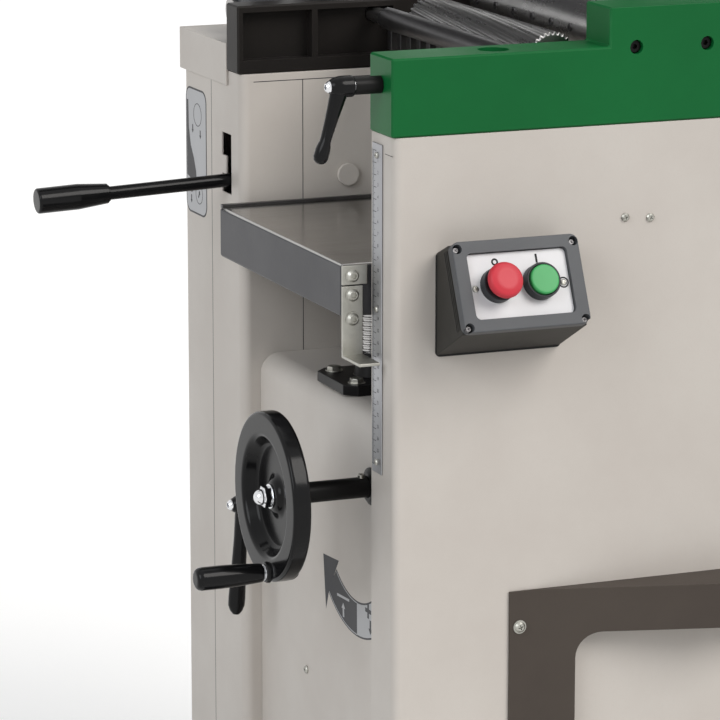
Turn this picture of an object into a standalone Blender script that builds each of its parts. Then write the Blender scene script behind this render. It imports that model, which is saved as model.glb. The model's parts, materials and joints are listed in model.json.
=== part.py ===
"""Planer thicknesser for timber up to 260 mm wide, in its thicknessing set-up.

Metres, +Z up. The origin is on the floor under the middle of the machine. X runs along
the feed, with the handwheel at the -X end, and the operator stands at -Y. The surface
tables are built lying down and then swung up about their hinge shaft at the rear.
"""

import bpy
import bmesh
from math import asin, atan2, cos, pi, radians, sin, sqrt
from mathutils import Matrix, Vector

# Driving dimensions of the body
BODY_LENGTH = 0.490
WALL_DEPTH = 0.048
PASSAGE_WIDTH = 0.304
UPRIGHT_DEPTH = 0.076
COVER_DEPTH = 0.075
SURFACE_HEIGHT = 0.850
BEAM_STACK = 0.098
WALL_TOP = SURFACE_HEIGHT - BEAM_STACK
SEAT_GAP = 0.0003
RUN_GAP = 0.0006
CUT_OVERRUN = 0.004

LEFT_X = -BODY_LENGTH / 2
RIGHT_X = BODY_LENGTH / 2
FRONT_Y = -(WALL_DEPTH + PASSAGE_WIDTH + UPRIGHT_DEPTH + COVER_DEPTH) / 2
WALL_Y = FRONT_Y + WALL_DEPTH
REAR_Y = WALL_Y + PASSAGE_WIDTH
SEAM_Y = REAR_Y + UPRIGHT_DEPTH
BACK_Y = SEAM_Y + COVER_DEPTH

# Base plate with a bolt-down lip
BASE_THICK = 0.008
BASE_LIP = 0.030
BASE_HOLE = 0.012
BODY_BOTTOM = BASE_THICK + SEAT_GAP

# Sheet body
SHEET = 0.002
FRONT_CORNER = 0.007
REAR_CORNER = 0.009
UPRIGHT_RISE = 0.0037
UPRIGHT_TOP = WALL_TOP + UPRIGHT_RISE
COVER_CORNER = 0.010

# Lower cabinet between the two walls
CABINET_INSET = 0.017
DECK_DROP = 0.246
DECK_TOP = WALL_TOP - DECK_DROP
DECK_ROUND = 0.018

# Cap over the rear drive, with the hump over the upper pulley
CAP_PROUD = 0.0023
CAP_FRONT = 0.0313
CAP_RISE = 0.028
CAP_TOP = WALL_TOP + CAP_RISE
CAP_SKIRT = 0.0375
HUMP_LENGTH = 0.094
HUMP_DEPTH = 0.027
HUMP_RISE = 0.073

# Slot for the feed lever in the end of the rear upright
SLOT_FRONT = 0.0255
SLOT_WIDTH = 0.024
SLOT_NECK = 0.013
SLOT_DROP = 0.053
SLOT_TOP = WALL_TOP - SLOT_DROP
SLOT_HEIGHT = 0.0535
SLOT_TOOTH_DROP = 0.0205
SLOT_TOOTH_HEIGHT = 0.0165

# Cast beams over the walls
BEAM_PROUD = 0.002
BEAM_SHOULDER = 0.064
BEAM_TALL = 0.096
BEAM_TALL_LENGTH = 0.112
BEAM_SETBACK = 0.0008
BEAM_EDGE = 0.0015
REAR_BEAM_OFFSET = 0.002
REAR_BEAM_DEPTH = 0.029
REAR_BEAM_TALL = 0.093
POCKET_DEPTH = 0.012
POCKET_RIM = 0.012
POCKET_RIB = 0.005
POCKET_SHARES = (0.1327, 0.1469)
FRONT_SCREW_HOLE = 0.012
FRONT_SCREW_PITCH = 0.064
FRONT_SCREW_RISE = 0.0627
FRONT_SCREW_DEPTH = 0.020

# Cutterblock, its bearings and the drive
CUTTER_RADIUS = 0.035
KNIFE_STANDOUT = 0.001
KNIFE_COUNT = 3
KNIFE_THICK = 0.003
GULLET_RADIUS = 0.009
CUTTER_END_GAP = 0.018
CUTTER_Z = SURFACE_HEIGHT - CUTTER_RADIUS - KNIFE_STANDOUT
JOURNAL_RADIUS = 0.0125
BEARING_RADIUS = 0.026
BEARING_WIDTH = 0.015
BEARING_WALL = 0.004
BEARING_GROOVE = 0.002
BELT_GAP = 0.006
BELT_WIDTH = 0.016
BELT_THICK = 0.004
CUTTER_PULLEY_RADIUS = 0.030
MOTOR_PULLEY_RADIUS = 0.052
PULLEY_LIP = 0.002
PULLEY_RIM = 0.0018
MOTOR_X = 0.0
MOTOR_Z = 0.192
MOTOR_RADIUS = 0.085
MOTOR_LENGTH = 0.230
MOTOR_FRONT_GAP = 0.036
MOTOR_FOOT = 0.095
MOTOR_FOOT_WIDTH = 0.140
MOTOR_FOOT_LENGTH = 0.150
MOTOR_SHAFT_RADIUS = 0.012
CRADLE_WALL = 0.005
CRADLE_OVERHANG = 0.010
MOTOR_SHIELD = 0.018
MOTOR_SHIELD_SHARE = 0.82
PULLEY_Y = REAR_Y + CAP_FRONT + 2 * SHEET + BELT_GAP - PULLEY_RIM

# Feed rollers and anti-kickback fingers
ROLLER_RADIUS = 0.022
ROLLER_JOURNAL = 0.008
ROLLER_PITCH = 0.150
ROLLER_RUNOUT = 0.0015
ROLLER_END_GAP = 0.022
FINGER_SHAFT_RADIUS = 0.007
FINGER_SHAFT_PITCH = 0.230
FINGER_SHAFT_RISE = 0.050
FINGER_COUNT = 12
FINGER_WIDTH = 0.008
FINGER_SLEEVE = 0.010
FINGER_LENGTH = 0.026
FINGER_TIP = 0.006
JOURNAL_DEPTH = 0.014
FINGER_X = -FINGER_SHAFT_PITCH / 2
FINGER_Z = WALL_TOP + FINGER_SHAFT_RISE
ROLLER_Z = CUTTER_Z - CUTTER_RADIUS - KNIFE_STANDOUT - ROLLER_RUNOUT + ROLLER_RADIUS
JOURNALS = [(-ROLLER_PITCH / 2, ROLLER_Z, ROLLER_JOURNAL), (ROLLER_PITCH / 2, ROLLER_Z, ROLLER_JOURNAL),
            (FINGER_X, FINGER_Z, FINGER_SHAFT_RADIUS)]

# Thickness table and its lift
TABLE_OVERHANG = 0.025
TABLE_LENGTH = BODY_LENGTH + 2 * TABLE_OVERHANG
TABLE_WIDTH = 0.288
TABLE_SIDE_GAP = 0.004
TABLE_THICK = 0.044
TABLE_DROP = 0.1094
TABLE_TOP = WALL_TOP - TABLE_DROP
TABLE_RIM = 0.016
TABLE_PLATE = 0.012
TABLE_EDGE = 0.002
TABLE_BOSS = 0.060
LIFT_INSET = 0.062
LIFT_PITCH = BODY_LENGTH - 2 * LIFT_INSET
LIFT_SCREW_RADIUS = 0.0105
LIFT_SCREW_LENGTH = 0.290
HOUSING_SIDE = 0.080
HOUSING_THICK = 0.009
HOUSING_CHAMFER = 0.010
HOUSING_BOSS = 0.018
HOUSING_BOSS_HEIGHT = 0.020
SPROCKET_RADIUS = 0.024
SPROCKET_TEETH = 14
SPROCKET_TOOTH = 0.003
SPROCKET_THICK = 0.005
SPROCKET_HUB = 0.018
SPROCKET_HUB_HEIGHT = 0.016
CHAIN_THICK = 0.004
CHAIN_WIDTH = 0.005
TOOTH_SHARES = (0.0, 0.2, 0.4, 0.6)
LIFT_X = (-LIFT_PITCH / 2, LIFT_PITCH / 2)
LIFT_Y = WALL_Y + TABLE_SIDE_GAP + TABLE_WIDTH / 2
SCREW_SEAT = TABLE_THICK - TABLE_PLATE

# Pointer tab and angle bracket on the table, and the scale on the wall
TAB_THICK = 0.0025
TAB_LENGTH = 0.022
TAB_HEIGHT = 0.016
TAB_DROP = 0.0008
ANGLE_WIDTH = 0.018
ANGLE_TOP_DROP = 0.0166
ANGLE_HEIGHT = 0.0595
ANGLE_FLANGE = 0.040
SCALE_THICK = 0.001
SCALE_WIDTH = 0.0205
SCALE_HEIGHT = 0.2726
SCALE_INSET = 0.0045
SCALE_DROP = 0.0084

# Handwheel, crank and lift drive
WHEEL_INSET = 0.039
WHEEL_DROP = 0.3065
WHEEL_Y = WALL_Y + WHEEL_INSET
WHEEL_Z = WALL_TOP - WHEEL_DROP
WHEEL_RADIUS = 0.0708
WHEEL_RIM = 0.0157
WHEEL_DISH_RADIUS = 0.0495
WHEEL_DISH_DEPTH = 0.012
WHEEL_WEB = 0.006
WHEEL_HUB_RADIUS = 0.0135
WHEEL_HUB_LENGTH = 0.0135
WHEEL_BORE = 0.0062
WHEEL_EDGE = 0.003
HUB_PROUD = 0.004
WHEEL_STANDOFF = 0.081
SHAFT_RADIUS = 0.0088
SHAFT_INNER_LENGTH = 0.048
SPIGOT_RADIUS = 0.006
SPIGOT_LENGTH = 0.018
FLANGE_RADIUS = 0.016
FLANGE_THICK = 0.005
DOME_RADIUS = 0.0065
DOME_COLLAR = 0.004
DOME_STEP = 0.004
DOME_TURNS = (0, pi / 8, pi / 4, 3 * pi / 8)
CRANK_RADIUS = 0.0627
CRANK_FORWARD = 0.008
FERRULE_RADIUS = 0.006
FERRULE_LENGTH = 0.0045
CRANK_PIN_RADIUS = 0.004
GRIP_LENGTH = 0.0585
GRIP_RADIUS = 0.0097
GRIP_NECK = 0.0078
PIN_SHARE = 0.75
BEVEL_RADIUS = 0.015
BEVEL_WIDTH = 0.010
BEVEL_SMALL_SHARE = 0.6
GEAR_STEM_RADIUS = 0.007
GEAR_PLATE = 0.004
GEAR_HANGER_DEPTH = 0.030
GEAR_HANGER_LENGTH = 0.090
GEAR_X = LEFT_X + CABINET_INSET + SHEET + GEAR_HANGER_LENGTH - BEVEL_RADIUS
SHAFT_CHEEK = SHAFT_INNER_LENGTH - GEAR_PLATE

# Adjustable clamping levers
LEVER_SPACER_RADIUS = 0.00725
LEVER_SPACER_LENGTH = 0.024
LEVER_HUB_RADIUS = 0.0087
LEVER_HUB_LENGTH = 0.023
LEVER_ARM_RADIUS = 0.006
LEVER_ARM_ROOT = 0.0066
LEVER_ARM_TIP = 0.0066
CLAMP_ARM_LENGTH = 0.064
CLAMP_ARM_SPLAY = radians(17)
CLAMP_INSET = 0.0246
CLAMP_Y = WALL_Y - CLAMP_INSET
CLAMP_RISE = 0.0409
LOCK_ARM_LENGTH = 0.0997
LOCK_ARM_SPLAY = radians(5)
LOCK_INSET = 0.2565
LOCK_DROP = 0.3695
LOCK_Y = WALL_Y + LOCK_INSET
LOCK_Z = WALL_TOP - LOCK_DROP
ARM_SHARE = 0.75
PADDLE_SHARE = 0.6

# Feed lever
FEED_PIVOT_IN = 0.100
FEED_Y_IN = 0.0321
FEED_REST_DROP = 0.094
FEED_DROOP = radians(2.4)
FEED_ROD_RADIUS = 0.006
FEED_GRIP_START = 0.1135
FEED_GRIP_LENGTH = 0.065
FEED_GRIP_NECK = 0.0088
FEED_GRIP_RADIUS = 0.0113
FEED_EYE_RADIUS = 0.013
FEED_EYE_WIDTH = 0.012
FEED_PIN_RADIUS = 0.006
FEED_PIN_HEAD = 0.010
FEED_PIN_HEAD_THICK = 0.004
FEED_PIN_LENGTH = FEED_Y_IN + FEED_EYE_WIDTH
FEED_X = LEFT_X + FEED_PIVOT_IN
FEED_Y = REAR_Y + FEED_Y_IN
FEED_Z = WALL_TOP - FEED_REST_DROP + FEED_PIVOT_IN * sin(FEED_DROOP)

# Switch box on the front wall, tilted to face upwards
BOX_LEFT = 0.0366
BOX_WIDTH = 0.1095
BOX_TOP_DROP = 0.0949
BOX_TOP_RISE = 0.0101
BOX_WALL_HEIGHT = 0.0847
BOX_TOP_REACH = 0.0233
BOX_BOTTOM_REACH = 0.0541
BOX_FACE_HEIGHT = 0.074
BOX_WALL = 0.0025
LID_THICK = 0.0085
LID_PROUD = 0.0005
LID_CORNER = 0.006
PLATE_WIDTH = 0.087
PLATE_HEIGHT = 0.054
PLATE_THICK = 0.001
PLATE_SUNK = 0.004
BUTTON_PITCH = 0.0375
BUTTON_SHIFT = 0.0015
BUTTON_STEM_RADIUS = 0.009
BUTTON_BARREL_RADIUS = 0.0115
BUTTON_BARREL_LENGTH = 0.014
BEZEL_RADIUS = 0.0146
BEZEL_HEIGHT = 0.0055
GREEN_RADIUS = 0.0122
GREEN_PROUD = 0.0085
GREEN_SKIRT = 0.0036
RED_RADIUS = 0.015
RED_PROUD = 0.020
RED_HEAD = 0.010
RED_NECK_SHARE = 0.7
RED_BRIM_SHARE = 0.6
RED_CROWN_SHARE = 0.75
BUTTON_TRAVEL = 0.003

# Folded guard low on the front wall
GUARD_LEFT = 0.103
GUARD_RIGHT = 0.021
GUARD_DROP = 0.384
GUARD_TOP = WALL_TOP - GUARD_DROP
GUARD_HEIGHT_SHARE = 0.7065
GUARD_HEIGHT = GUARD_TOP * GUARD_HEIGHT_SHARE
GUARD_FLANGE = 0.020
GUARD_RUN = (BODY_LENGTH - GUARD_LEFT - GUARD_RIGHT) / 2 - GUARD_FLANGE
GUARD_RISE = 0.044
GUARD_TOP_BAND = 0.038
GUARD_WINDOW_SIDE = 0.036
GUARD_WINDOW_CORNER = 0.022

# Surface tables, as they lie when swung down
HINGE_INSET = 0.385
HINGE_RISE = 0.050
HINGE_Y = WALL_Y + HINGE_INSET
HINGE_Z = WALL_TOP + HINGE_RISE
HINGE_RADIUS = 0.012
HINGE_END_INSET = 0.020
HINGE_LENGTH = BODY_LENGTH - 2 * HINGE_END_INSET
BRACKET_THICK = 0.016
BRACKET_FOOT = 0.010
BRACKET_INSET = 0.032
BRACKET_PITCH = BODY_LENGTH - 2 * BRACKET_INSET
ARM_THICK = 0.016
ARM_INSET = 0.060
ARM_PITCH = BODY_LENGTH - 2 * ARM_INSET
ARM_HEAD = 0.012
ARM_DEPTH = 0.027
ARM_BOSS = 0.020
SURFACE_LENGTH = 0.500
SURFACE_OVERHANG = 0.046
SURFACE_REAR = 0.294
SURFACE_THICK = 0.0337
SURFACE_PLATE = 0.010
SURFACE_RIM = 0.010
SURFACE_RIB = 0.010
SURFACE_BAYS = 3
LIP_RIB = 0.046
THROAT = 0.044
LIP_CLEARANCE = 0.004
NOTCH_LENGTH = 0.060
NOTCH_DEPTH = 0.048
INFEED_DROP = 0.003
STUD_RADIUS = 0.009
STUD_LENGTH = 0.022
STUD_BORE = 0.013
STUD_BORE_DEPTH = 0.030
STUD_INSET = 0.096

# Fence, its bracket and carriage, as they stand when the tables are down
FENCE_LENGTH = 0.520
FENCE_HEIGHT = 0.130
FENCE_THICK = 0.012
FENCE_OVERHANG = 0.110
FENCE_FACE_INSET = 0.018
FENCE_FACE = SURFACE_REAR - FENCE_FACE_INSET
FENCE_LIFT = 0.001
FENCE_SLOT_DEPTH = 0.004
FENCE_SLOT_HEIGHT = 0.016
FENCE_PIVOT_RISE = 0.010
FENCE_PIVOT_RADIUS = 0.005
TONGUE_SHARE = 0.9
FENCE_BAR_X = 0.152
FENCE_BAR_RISE = 0.150
FENCE_BAR_Z = WALL_TOP + FENCE_BAR_RISE
FENCE_BAR_RADIUS = 0.0125
FENCE_BAR_START = 0.352
FENCE_BAR_END = 0.592
FENCE_GUIDE_START = 0.375
FENCE_GUIDE_LENGTH = 0.030
FENCE_GUIDE_WALL = 0.010
FENCE_NECK = 0.020
FENCE_NECK_LEFT = 0.112
FENCE_NECK_DEPTH = 0.016
CARRIAGE_NECK = 0.024
CARRIAGE_ROOT = 0.010

# Bridge guard over the cutterblock, as it stands when the tables are down
POST_X = 0.120
POST_WIDTH = 0.040
POST_DEPTH = 0.020
POST_RISE = 0.012
GUARD_PIN_RADIUS = 0.006
BRIDGE_ARM_THICK = 0.006
BRIDGE_BLADE_WIDTH = 0.080
BRIDGE_BLADE_END = 0.140
BRIDGE_LIFT = 0.014
BRIDGE_CROWN = 0.006
CROWN_SHARE = 0.75

# Roundness of turned and drilled shapes
FINE_SIDES = 32
ROUND_SIDES = 20
SMALL_SIDES = 12
CORNER_STEPS = 4

# Turns that lay a shape's own Z along X, Y or Z, and a flat outline in a plane
ALONG_X = (0, pi / 2, 0)
ALONG_Y = (-pi / 2, 0, 0)
UPRIGHT = (0, 0, 0)
SIDE_PLANE = (pi / 2, 0, pi / 2)
FRONT_PLANE = (pi / 2, 0, 0)
MERGE = 0.00001
EVEN_PROFILE = 0.5
CREASE_ANGLE = radians(35)
SHARP_ANGLE = radians(50)

# Finishes: colour, roughness and how metallic
CREAM_SHEET = ((0.60, 0.56, 0.52), 0.45, 0)
GREEN_PAINT = ((0.015, 0.15, 0.045), 0.40, 0)
BLACK_CAST = ((0.012, 0.012, 0.013), 0.45, 0)
BLACK_GLOSS = ((0.012, 0.012, 0.013), 0.15, 0)
DARK_PAINT = ((0.045, 0.047, 0.050), 0.50, 0)
MACHINED_IRON = ((0.30, 0.30, 0.31), 0.35, 1)
BRIGHT_STEEL = ((0.55, 0.55, 0.56), 0.30, 1)
CHROME = ((0.75, 0.75, 0.77), 0.12, 1)
BROWN_POWDER = ((0.065, 0.055, 0.048), 0.60, 0)
GREY_PLASTIC = ((0.045, 0.047, 0.050), 0.50, 0)
SATIN_ALUMINIUM = ((0.66, 0.67, 0.68), 0.35, 1)
RED_BUTTON = ((0.60, 0.03, 0.035), 0.40, 0)
GREEN_BUTTON = ((0.01, 0.20, 0.07), 0.40, 0)
RUBBER = ((0.02, 0.02, 0.02), 0.80, 0)
BRONZE = ((0.45, 0.30, 0.12), 0.35, 1)


def clear_scene():
    """Remove every object that the new file came with."""
    for thing in list(bpy.data.objects):
        bpy.data.objects.remove(thing, do_unlink=True)


clear_scene()
PARTS = bpy.data.collections.new("planer_thicknesser")
CUTTERS = bpy.data.collections.new("cutters")
bpy.context.scene.collection.children.link(PARTS)
bpy.context.scene.collection.children.link(CUTTERS)


def paint(name, finish):
    """A Principled material."""
    colour, roughness, metallic = finish
    material = bpy.data.materials.new(name)
    material.use_nodes = True
    shader = material.node_tree.nodes["Principled BSDF"]
    shader.inputs["Base Color"].default_value = (*colour, 1)
    shader.inputs["Roughness"].default_value = roughness
    shader.inputs["Metallic"].default_value = metallic
    return material


def keep(thing, name, material):
    """Name a finished piece, paint it and put it among the parts."""
    thing.name = name
    thing.data.materials.clear()
    thing.data.materials.append(material)
    CUTTERS.objects.unlink(thing)
    PARTS.objects.link(thing)
    thing.hide_render = False
    thing.display_type = "TEXTURED"
    return thing


def raw(name, data):
    """A helper object, hidden from renders until it is kept."""
    thing = bpy.data.objects.new(name, data)
    CUTTERS.objects.link(thing)
    thing.hide_render = True
    thing.display_type = "WIRE"
    return thing


def from_bmesh(name, work):
    """A helper object with the bmesh's shape."""
    mesh = bpy.data.meshes.new(name)
    work.to_mesh(mesh)
    work.free()
    return raw(name, mesh)


def block(low, high, name="block"):
    """A box between two corners."""
    low, high = Vector(low), Vector(high)
    work = bmesh.new()
    middle = Matrix.Translation((low + high) / 2)
    bmesh.ops.create_cube(work, size=1, matrix=middle @ Matrix.Diagonal((*(high - low), 1)))
    return from_bmesh(name, work)


def drum(place, length, radius, turn, sides=ROUND_SIDES, end_radius=None, name="drum"):
    """A cylinder or cone that starts at place and runs along its own Z."""
    work = bmesh.new()
    top = radius if end_radius is None else end_radius
    bmesh.ops.create_cone(work, cap_ends=True, segments=sides, radius1=radius, radius2=top,
                          depth=length, matrix=Matrix.Translation((0, 0, length / 2)))
    thing = from_bmesh(name, work)
    thing.location = place
    thing.rotation_euler = turn
    thing.data.shade_smooth()
    thing.data.set_sharp_from_angle(angle=CREASE_ANGLE)
    return thing


def turned(profile, place, turn, sides=ROUND_SIDES, ring=False, name="turned"):
    """A profile of (radius, height) points, spun about its own Z with a Screw modifier."""
    mesh = bpy.data.meshes.new(name)
    points = [(radius, 0, height) for radius, height in profile]
    edges = [(i, i + 1) for i in range(len(points) - 1)]
    if ring:
        edges.append((len(points) - 1, 0))
    mesh.from_pydata(points, edges, [])
    thing = raw(name, mesh)
    screw = thing.modifiers.new("turn", "SCREW")
    screw.steps = screw.render_steps = sides
    screw.use_merge_vertices = True
    screw.merge_threshold = MERGE
    screw.use_smooth_shade = False
    thing.location = place
    thing.rotation_euler = turn
    return thing


def flat(points, thickness, turn, place, name="flat"):
    """A flat outline with a thickness, centred on its plane, as a mesh."""
    curve = bpy.data.curves.new(name, "CURVE")
    curve.dimensions = "2D"
    curve.fill_mode = "BOTH"
    curve.extrude = thickness / 2
    line = curve.splines.new("POLY")
    line.points.add(len(points) - 1)
    for spot, (across, up) in zip(line.points, points):
        spot.co = (across, up, 0, 1)
    line.use_cyclic_u = True
    drawn = bpy.data.objects.new(name, curve)
    CUTTERS.objects.link(drawn)
    drawn.location = place
    drawn.rotation_euler = turn
    bpy.context.view_layer.update()
    ready = drawn.evaluated_get(bpy.context.evaluated_depsgraph_get())
    mesh = bpy.data.meshes.new_from_object(ready)
    weld = bmesh.new()
    weld.from_mesh(mesh)
    bmesh.ops.remove_doubles(weld, verts=weld.verts, dist=MERGE)
    bmesh.ops.recalc_face_normals(weld, faces=weld.faces)
    weld.to_mesh(mesh)
    weld.free()
    thing = raw(name, mesh)
    thing.matrix_world = drawn.matrix_world
    bpy.data.objects.remove(drawn)
    return thing


def shell(low, high, open_side, wall, corner, rounded):
    """A sheet box, open on one side, with its rounded edges picked by a test."""
    low, high = Vector(low), Vector(high)
    work = bmesh.new()
    middle = Matrix.Translation((low + high) / 2)
    bmesh.ops.create_cube(work, size=1, matrix=middle @ Matrix.Diagonal((*(high - low), 1)))
    work.normal_update()
    gone = [face for face in work.faces if face.normal.dot(Vector(open_side)) > 0]
    gone = [face for face in gone if abs(face.normal.dot(Vector(open_side))) > 1 - MERGE]
    bmesh.ops.delete(work, geom=gone, context="FACES_ONLY")
    picked = [edge for edge in work.edges if rounded(edge)]
    bmesh.ops.bevel(work, geom=picked, offset=corner, affect="EDGES", segments=CORNER_STEPS,
                    profile=EVEN_PROFILE, material=-1)
    thing = from_bmesh("shell", work)
    solid = thing.modifiers.new("sheet", "SOLIDIFY")
    solid.thickness = wall
    solid.offset = -1
    solid.use_even_offset = True
    return thing


def combine(body, operation, others):
    """Boolean the others into or out of the body, in order."""
    for other in others:
        step = body.modifiers.new(operation.lower(), "BOOLEAN")
        step.operation = operation
        step.solver = "EXACT"
        step.object = other
    return body


def cut(body, *others):
    """Take the others out of the body."""
    return combine(body, "DIFFERENCE", others)


def join(body, *others):
    """Add the others to the body."""
    return combine(body, "UNION", others)


def ease(thing, width, segments=1):
    """Break the sharp edges of a piece."""
    soften = thing.modifiers.new("edges", "BEVEL")
    soften.width = width
    soften.segments = segments
    soften.limit_method = "ANGLE"
    soften.angle_limit = SHARP_ANGLE
    return thing


def axis_at(name, place):
    """An empty that stands on a joint's axis."""
    empty = bpy.data.objects.new(name, None)
    PARTS.objects.link(empty)
    empty.location = place
    return empty


def family(thing):
    """A piece with every shape that its booleans use."""
    found = [thing]
    for step in thing.modifiers:
        if step.type == "BOOLEAN":
            found += family(step.object)
    return found


def carry(empty, *pieces):
    """Hang pieces on an unturned empty, where they stand."""
    for piece in pieces:
        for thing in family(piece):
            thing.parent = empty
            thing.matrix_parent_inverse = Matrix.Translation(-empty.location)


def arc(middle, radius, start, end, steps=2 * CORNER_STEPS):
    """Points on an arc, in degrees, in the outline's own plane."""
    sweep = [radians(start + (end - start) * i / steps) for i in range(steps + 1)]
    return [(middle[0] + radius * cos(turn), middle[1] + radius * sin(turn)) for turn in sweep]


def rounded_rectangle(left, bottom, right, top, corner):
    """The outline of a rectangle with round corners."""
    return (arc((right - corner, bottom + corner), corner, -90, 0)
            + arc((right - corner, top - corner), corner, 0, 90)
            + arc((left + corner, top - corner), corner, 90, 180)
            + arc((left + corner, bottom + corner), corner, 180, 270))


def band_round(circles, extra, steps=FINE_SIDES):
    """The taut outline round circles of (x, y, radius), each grown by extra."""
    spots = [(x + (radius + extra) * cos(2 * pi * i / steps), y + (radius + extra) * sin(2 * pi * i / steps))
             for x, y, radius in circles for i in range(steps)]
    spots.sort()

    def half(ordered):
        chain = []
        for spot in ordered:
            while len(chain) > 1 and turn_of(chain[-2], chain[-1], spot) <= 0:
                chain.pop()
            chain.append(spot)
        return chain[:-1]
    return half(spots) + half(spots[::-1])


def turn_of(a, b, c):
    """Positive where a, b and c turn to the left."""
    return (b[0] - a[0]) * (c[1] - a[1]) - (b[1] - a[1]) * (c[0] - a[0])


def is_vertical(edge):
    """True for an edge that stands upright."""
    a, b = (corner.co for corner in edge.verts)
    return abs(a.x - b.x) < MERGE and abs(a.y - b.y) < MERGE


def edge_y(edge):
    """The Y of an edge's middle."""
    return sum(corner.co.y for corner in edge.verts) / 2


def make_base(dark):
    """Base plate with four bolt-down holes in its lip and the motor cradle welded on."""
    reach_x = RIGHT_X + BASE_LIP
    reach_y = BACK_Y + BASE_LIP
    plate = block((-reach_x, -reach_y, 0), (reach_x, reach_y, BASE_THICK))
    holes = [drum((x * (RIGHT_X + BASE_LIP / 2), y * (BACK_Y + BASE_LIP / 2), -CUT_OVERRUN),
                  BASE_THICK + 2 * CUT_OVERRUN, BASE_HOLE / 2, UPRIGHT, SMALL_SIDES)
             for x in (-1, 1) for y in (-1, 1)]
    middle = WALL_Y + MOTOR_FRONT_GAP + MOTOR_LENGTH / 2
    half = MOTOR_FOOT_LENGTH / 2 + CRADLE_OVERHANG
    top = MOTOR_Z - MOTOR_FOOT - SEAT_GAP
    side = MOTOR_FOOT_WIDTH / 2 + CRADLE_OVERHANG
    cradle = block((MOTOR_X - side, middle - half, BASE_THICK / 2), (MOTOR_X + side, middle + half, top))
    inner = side - CRADLE_WALL
    under = block((MOTOR_X - inner, WALL_Y, BASE_THICK), (MOTOR_X + inner, REAR_Y, top - CRADLE_WALL))
    keep(join(cut(plate, *holes), cut(cradle, under)), "base_plate", dark)


def make_front_wall(cream):
    """Hollow sheet wall on the operator's side."""
    wall = shell((LEFT_X, FRONT_Y, BODY_BOTTOM), (RIGHT_X, WALL_Y, WALL_TOP), (0, 0, -1), SHEET,
                 FRONT_CORNER, lambda edge: is_vertical(edge) and edge_y(edge) < FRONT_Y + SHEET)
    keep(wall, "front_wall", cream)


def make_cabinet(cream):
    """Deck and end faces of the lower cabinet, folded from one sheet."""
    left = LEFT_X + CABINET_INSET
    bend = DECK_TOP - DECK_ROUND
    near = left + DECK_ROUND
    steps = 3 * CORNER_STEPS
    inner_round = DECK_ROUND - SHEET
    outer = ([(left, BODY_BOTTOM)] + arc((near, bend), DECK_ROUND, 180, 90, steps)
             + arc((-near, bend), DECK_ROUND, 90, 0, steps) + [(-left, BODY_BOTTOM)])
    inner = ([(-left - SHEET, BODY_BOTTOM)] + arc((-near, bend), inner_round, 0, 90, steps)
             + arc((near, bend), inner_round, 90, 180, steps) + [(left + SHEET, BODY_BOTTOM)])
    width = PASSAGE_WIDTH - 2 * SEAT_GAP
    sheet = flat(outer + inner, width, FRONT_PLANE, (0, (WALL_Y + REAR_Y) / 2, 0))
    wells = [drum((x, LIFT_Y, bend), 2 * DECK_ROUND, LIFT_SCREW_RADIUS + 4 * RUN_GAP, UPRIGHT)
             for x in LIFT_X]
    shaft_hole = drum((left - CUT_OVERRUN, WHEEL_Y, WHEEL_Z), SHEET + 2 * CUT_OVERRUN,
                      SHAFT_RADIUS + RUN_GAP, ALONG_X)
    lock_hole = drum((left - CUT_OVERRUN, LOCK_Y, LOCK_Z), SHEET + 2 * CUT_OVERRUN,
                     LEVER_SPACER_RADIUS / 2 + SEAT_GAP, ALONG_X, SMALL_SIDES)
    keep(cut(sheet, *wells, shaft_hole, lock_hole), "cabinet", cream)


def make_upright(cream):
    """Rear upright, open at its back, with the lever slot and the belt's openings."""
    wall = shell((LEFT_X, REAR_Y, BODY_BOTTOM), (RIGHT_X, SEAM_Y, UPRIGHT_TOP), (0, 1, 0), SHEET,
                 REAR_CORNER, lambda edge: is_vertical(edge) and edge_y(edge) < REAR_Y + SHEET)
    front = REAR_Y + SLOT_FRONT
    back = front + SLOT_WIDTH
    neck = front + SLOT_NECK
    tooth_top = SLOT_TOP - SLOT_TOOTH_DROP
    tooth_foot = tooth_top - SLOT_TOOTH_HEIGHT
    foot = SLOT_TOP - SLOT_HEIGHT
    outline = [(front, foot), (back, foot), (back, tooth_foot), (neck, tooth_foot),
               (neck, tooth_top), (back, tooth_top), (back, SLOT_TOP), (front, SLOT_TOP)]
    slot = flat(outline, 4 * CUT_OVERRUN, SIDE_PLANE, (LEFT_X, 0, 0))
    behind = REAR_Y + REAR_BEAM_OFFSET + REAR_BEAM_DEPTH
    belt_hole = block((-MOTOR_PULLEY_RADIUS, behind, UPRIGHT_TOP - CUT_OVERRUN),
                      (MOTOR_PULLEY_RADIUS, SEAM_Y - REAR_CORNER, UPRIGHT_TOP + CUT_OVERRUN))
    motor_hole = drum((MOTOR_X, REAR_Y - CUT_OVERRUN, MOTOR_Z), 2 * CUT_OVERRUN + SHEET,
                      2 * MOTOR_SHAFT_RADIUS, ALONG_Y)
    pin_hole = drum((FEED_X, REAR_Y - CUT_OVERRUN, FEED_Z), 2 * CUT_OVERRUN + SHEET,
                    FEED_PIN_RADIUS + SEAT_GAP, ALONG_Y, SMALL_SIDES)
    keep(cut(wall, slot, belt_hole, motor_hole, pin_hole), "rear_upright", cream)


def make_rear_cover(cream):
    """Cover that closes the back of the upright, and the cap above it."""
    low = (LEFT_X, SEAM_Y + SEAT_GAP, BODY_BOTTOM)
    cover = shell(low, (RIGHT_X, BACK_Y, UPRIGHT_TOP), (0, -1, 0), SHEET, COVER_CORNER,
                  lambda edge: is_vertical(edge) and edge_y(edge) > BACK_Y - SHEET)
    keep(cover, "rear_cover", cream)


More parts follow.
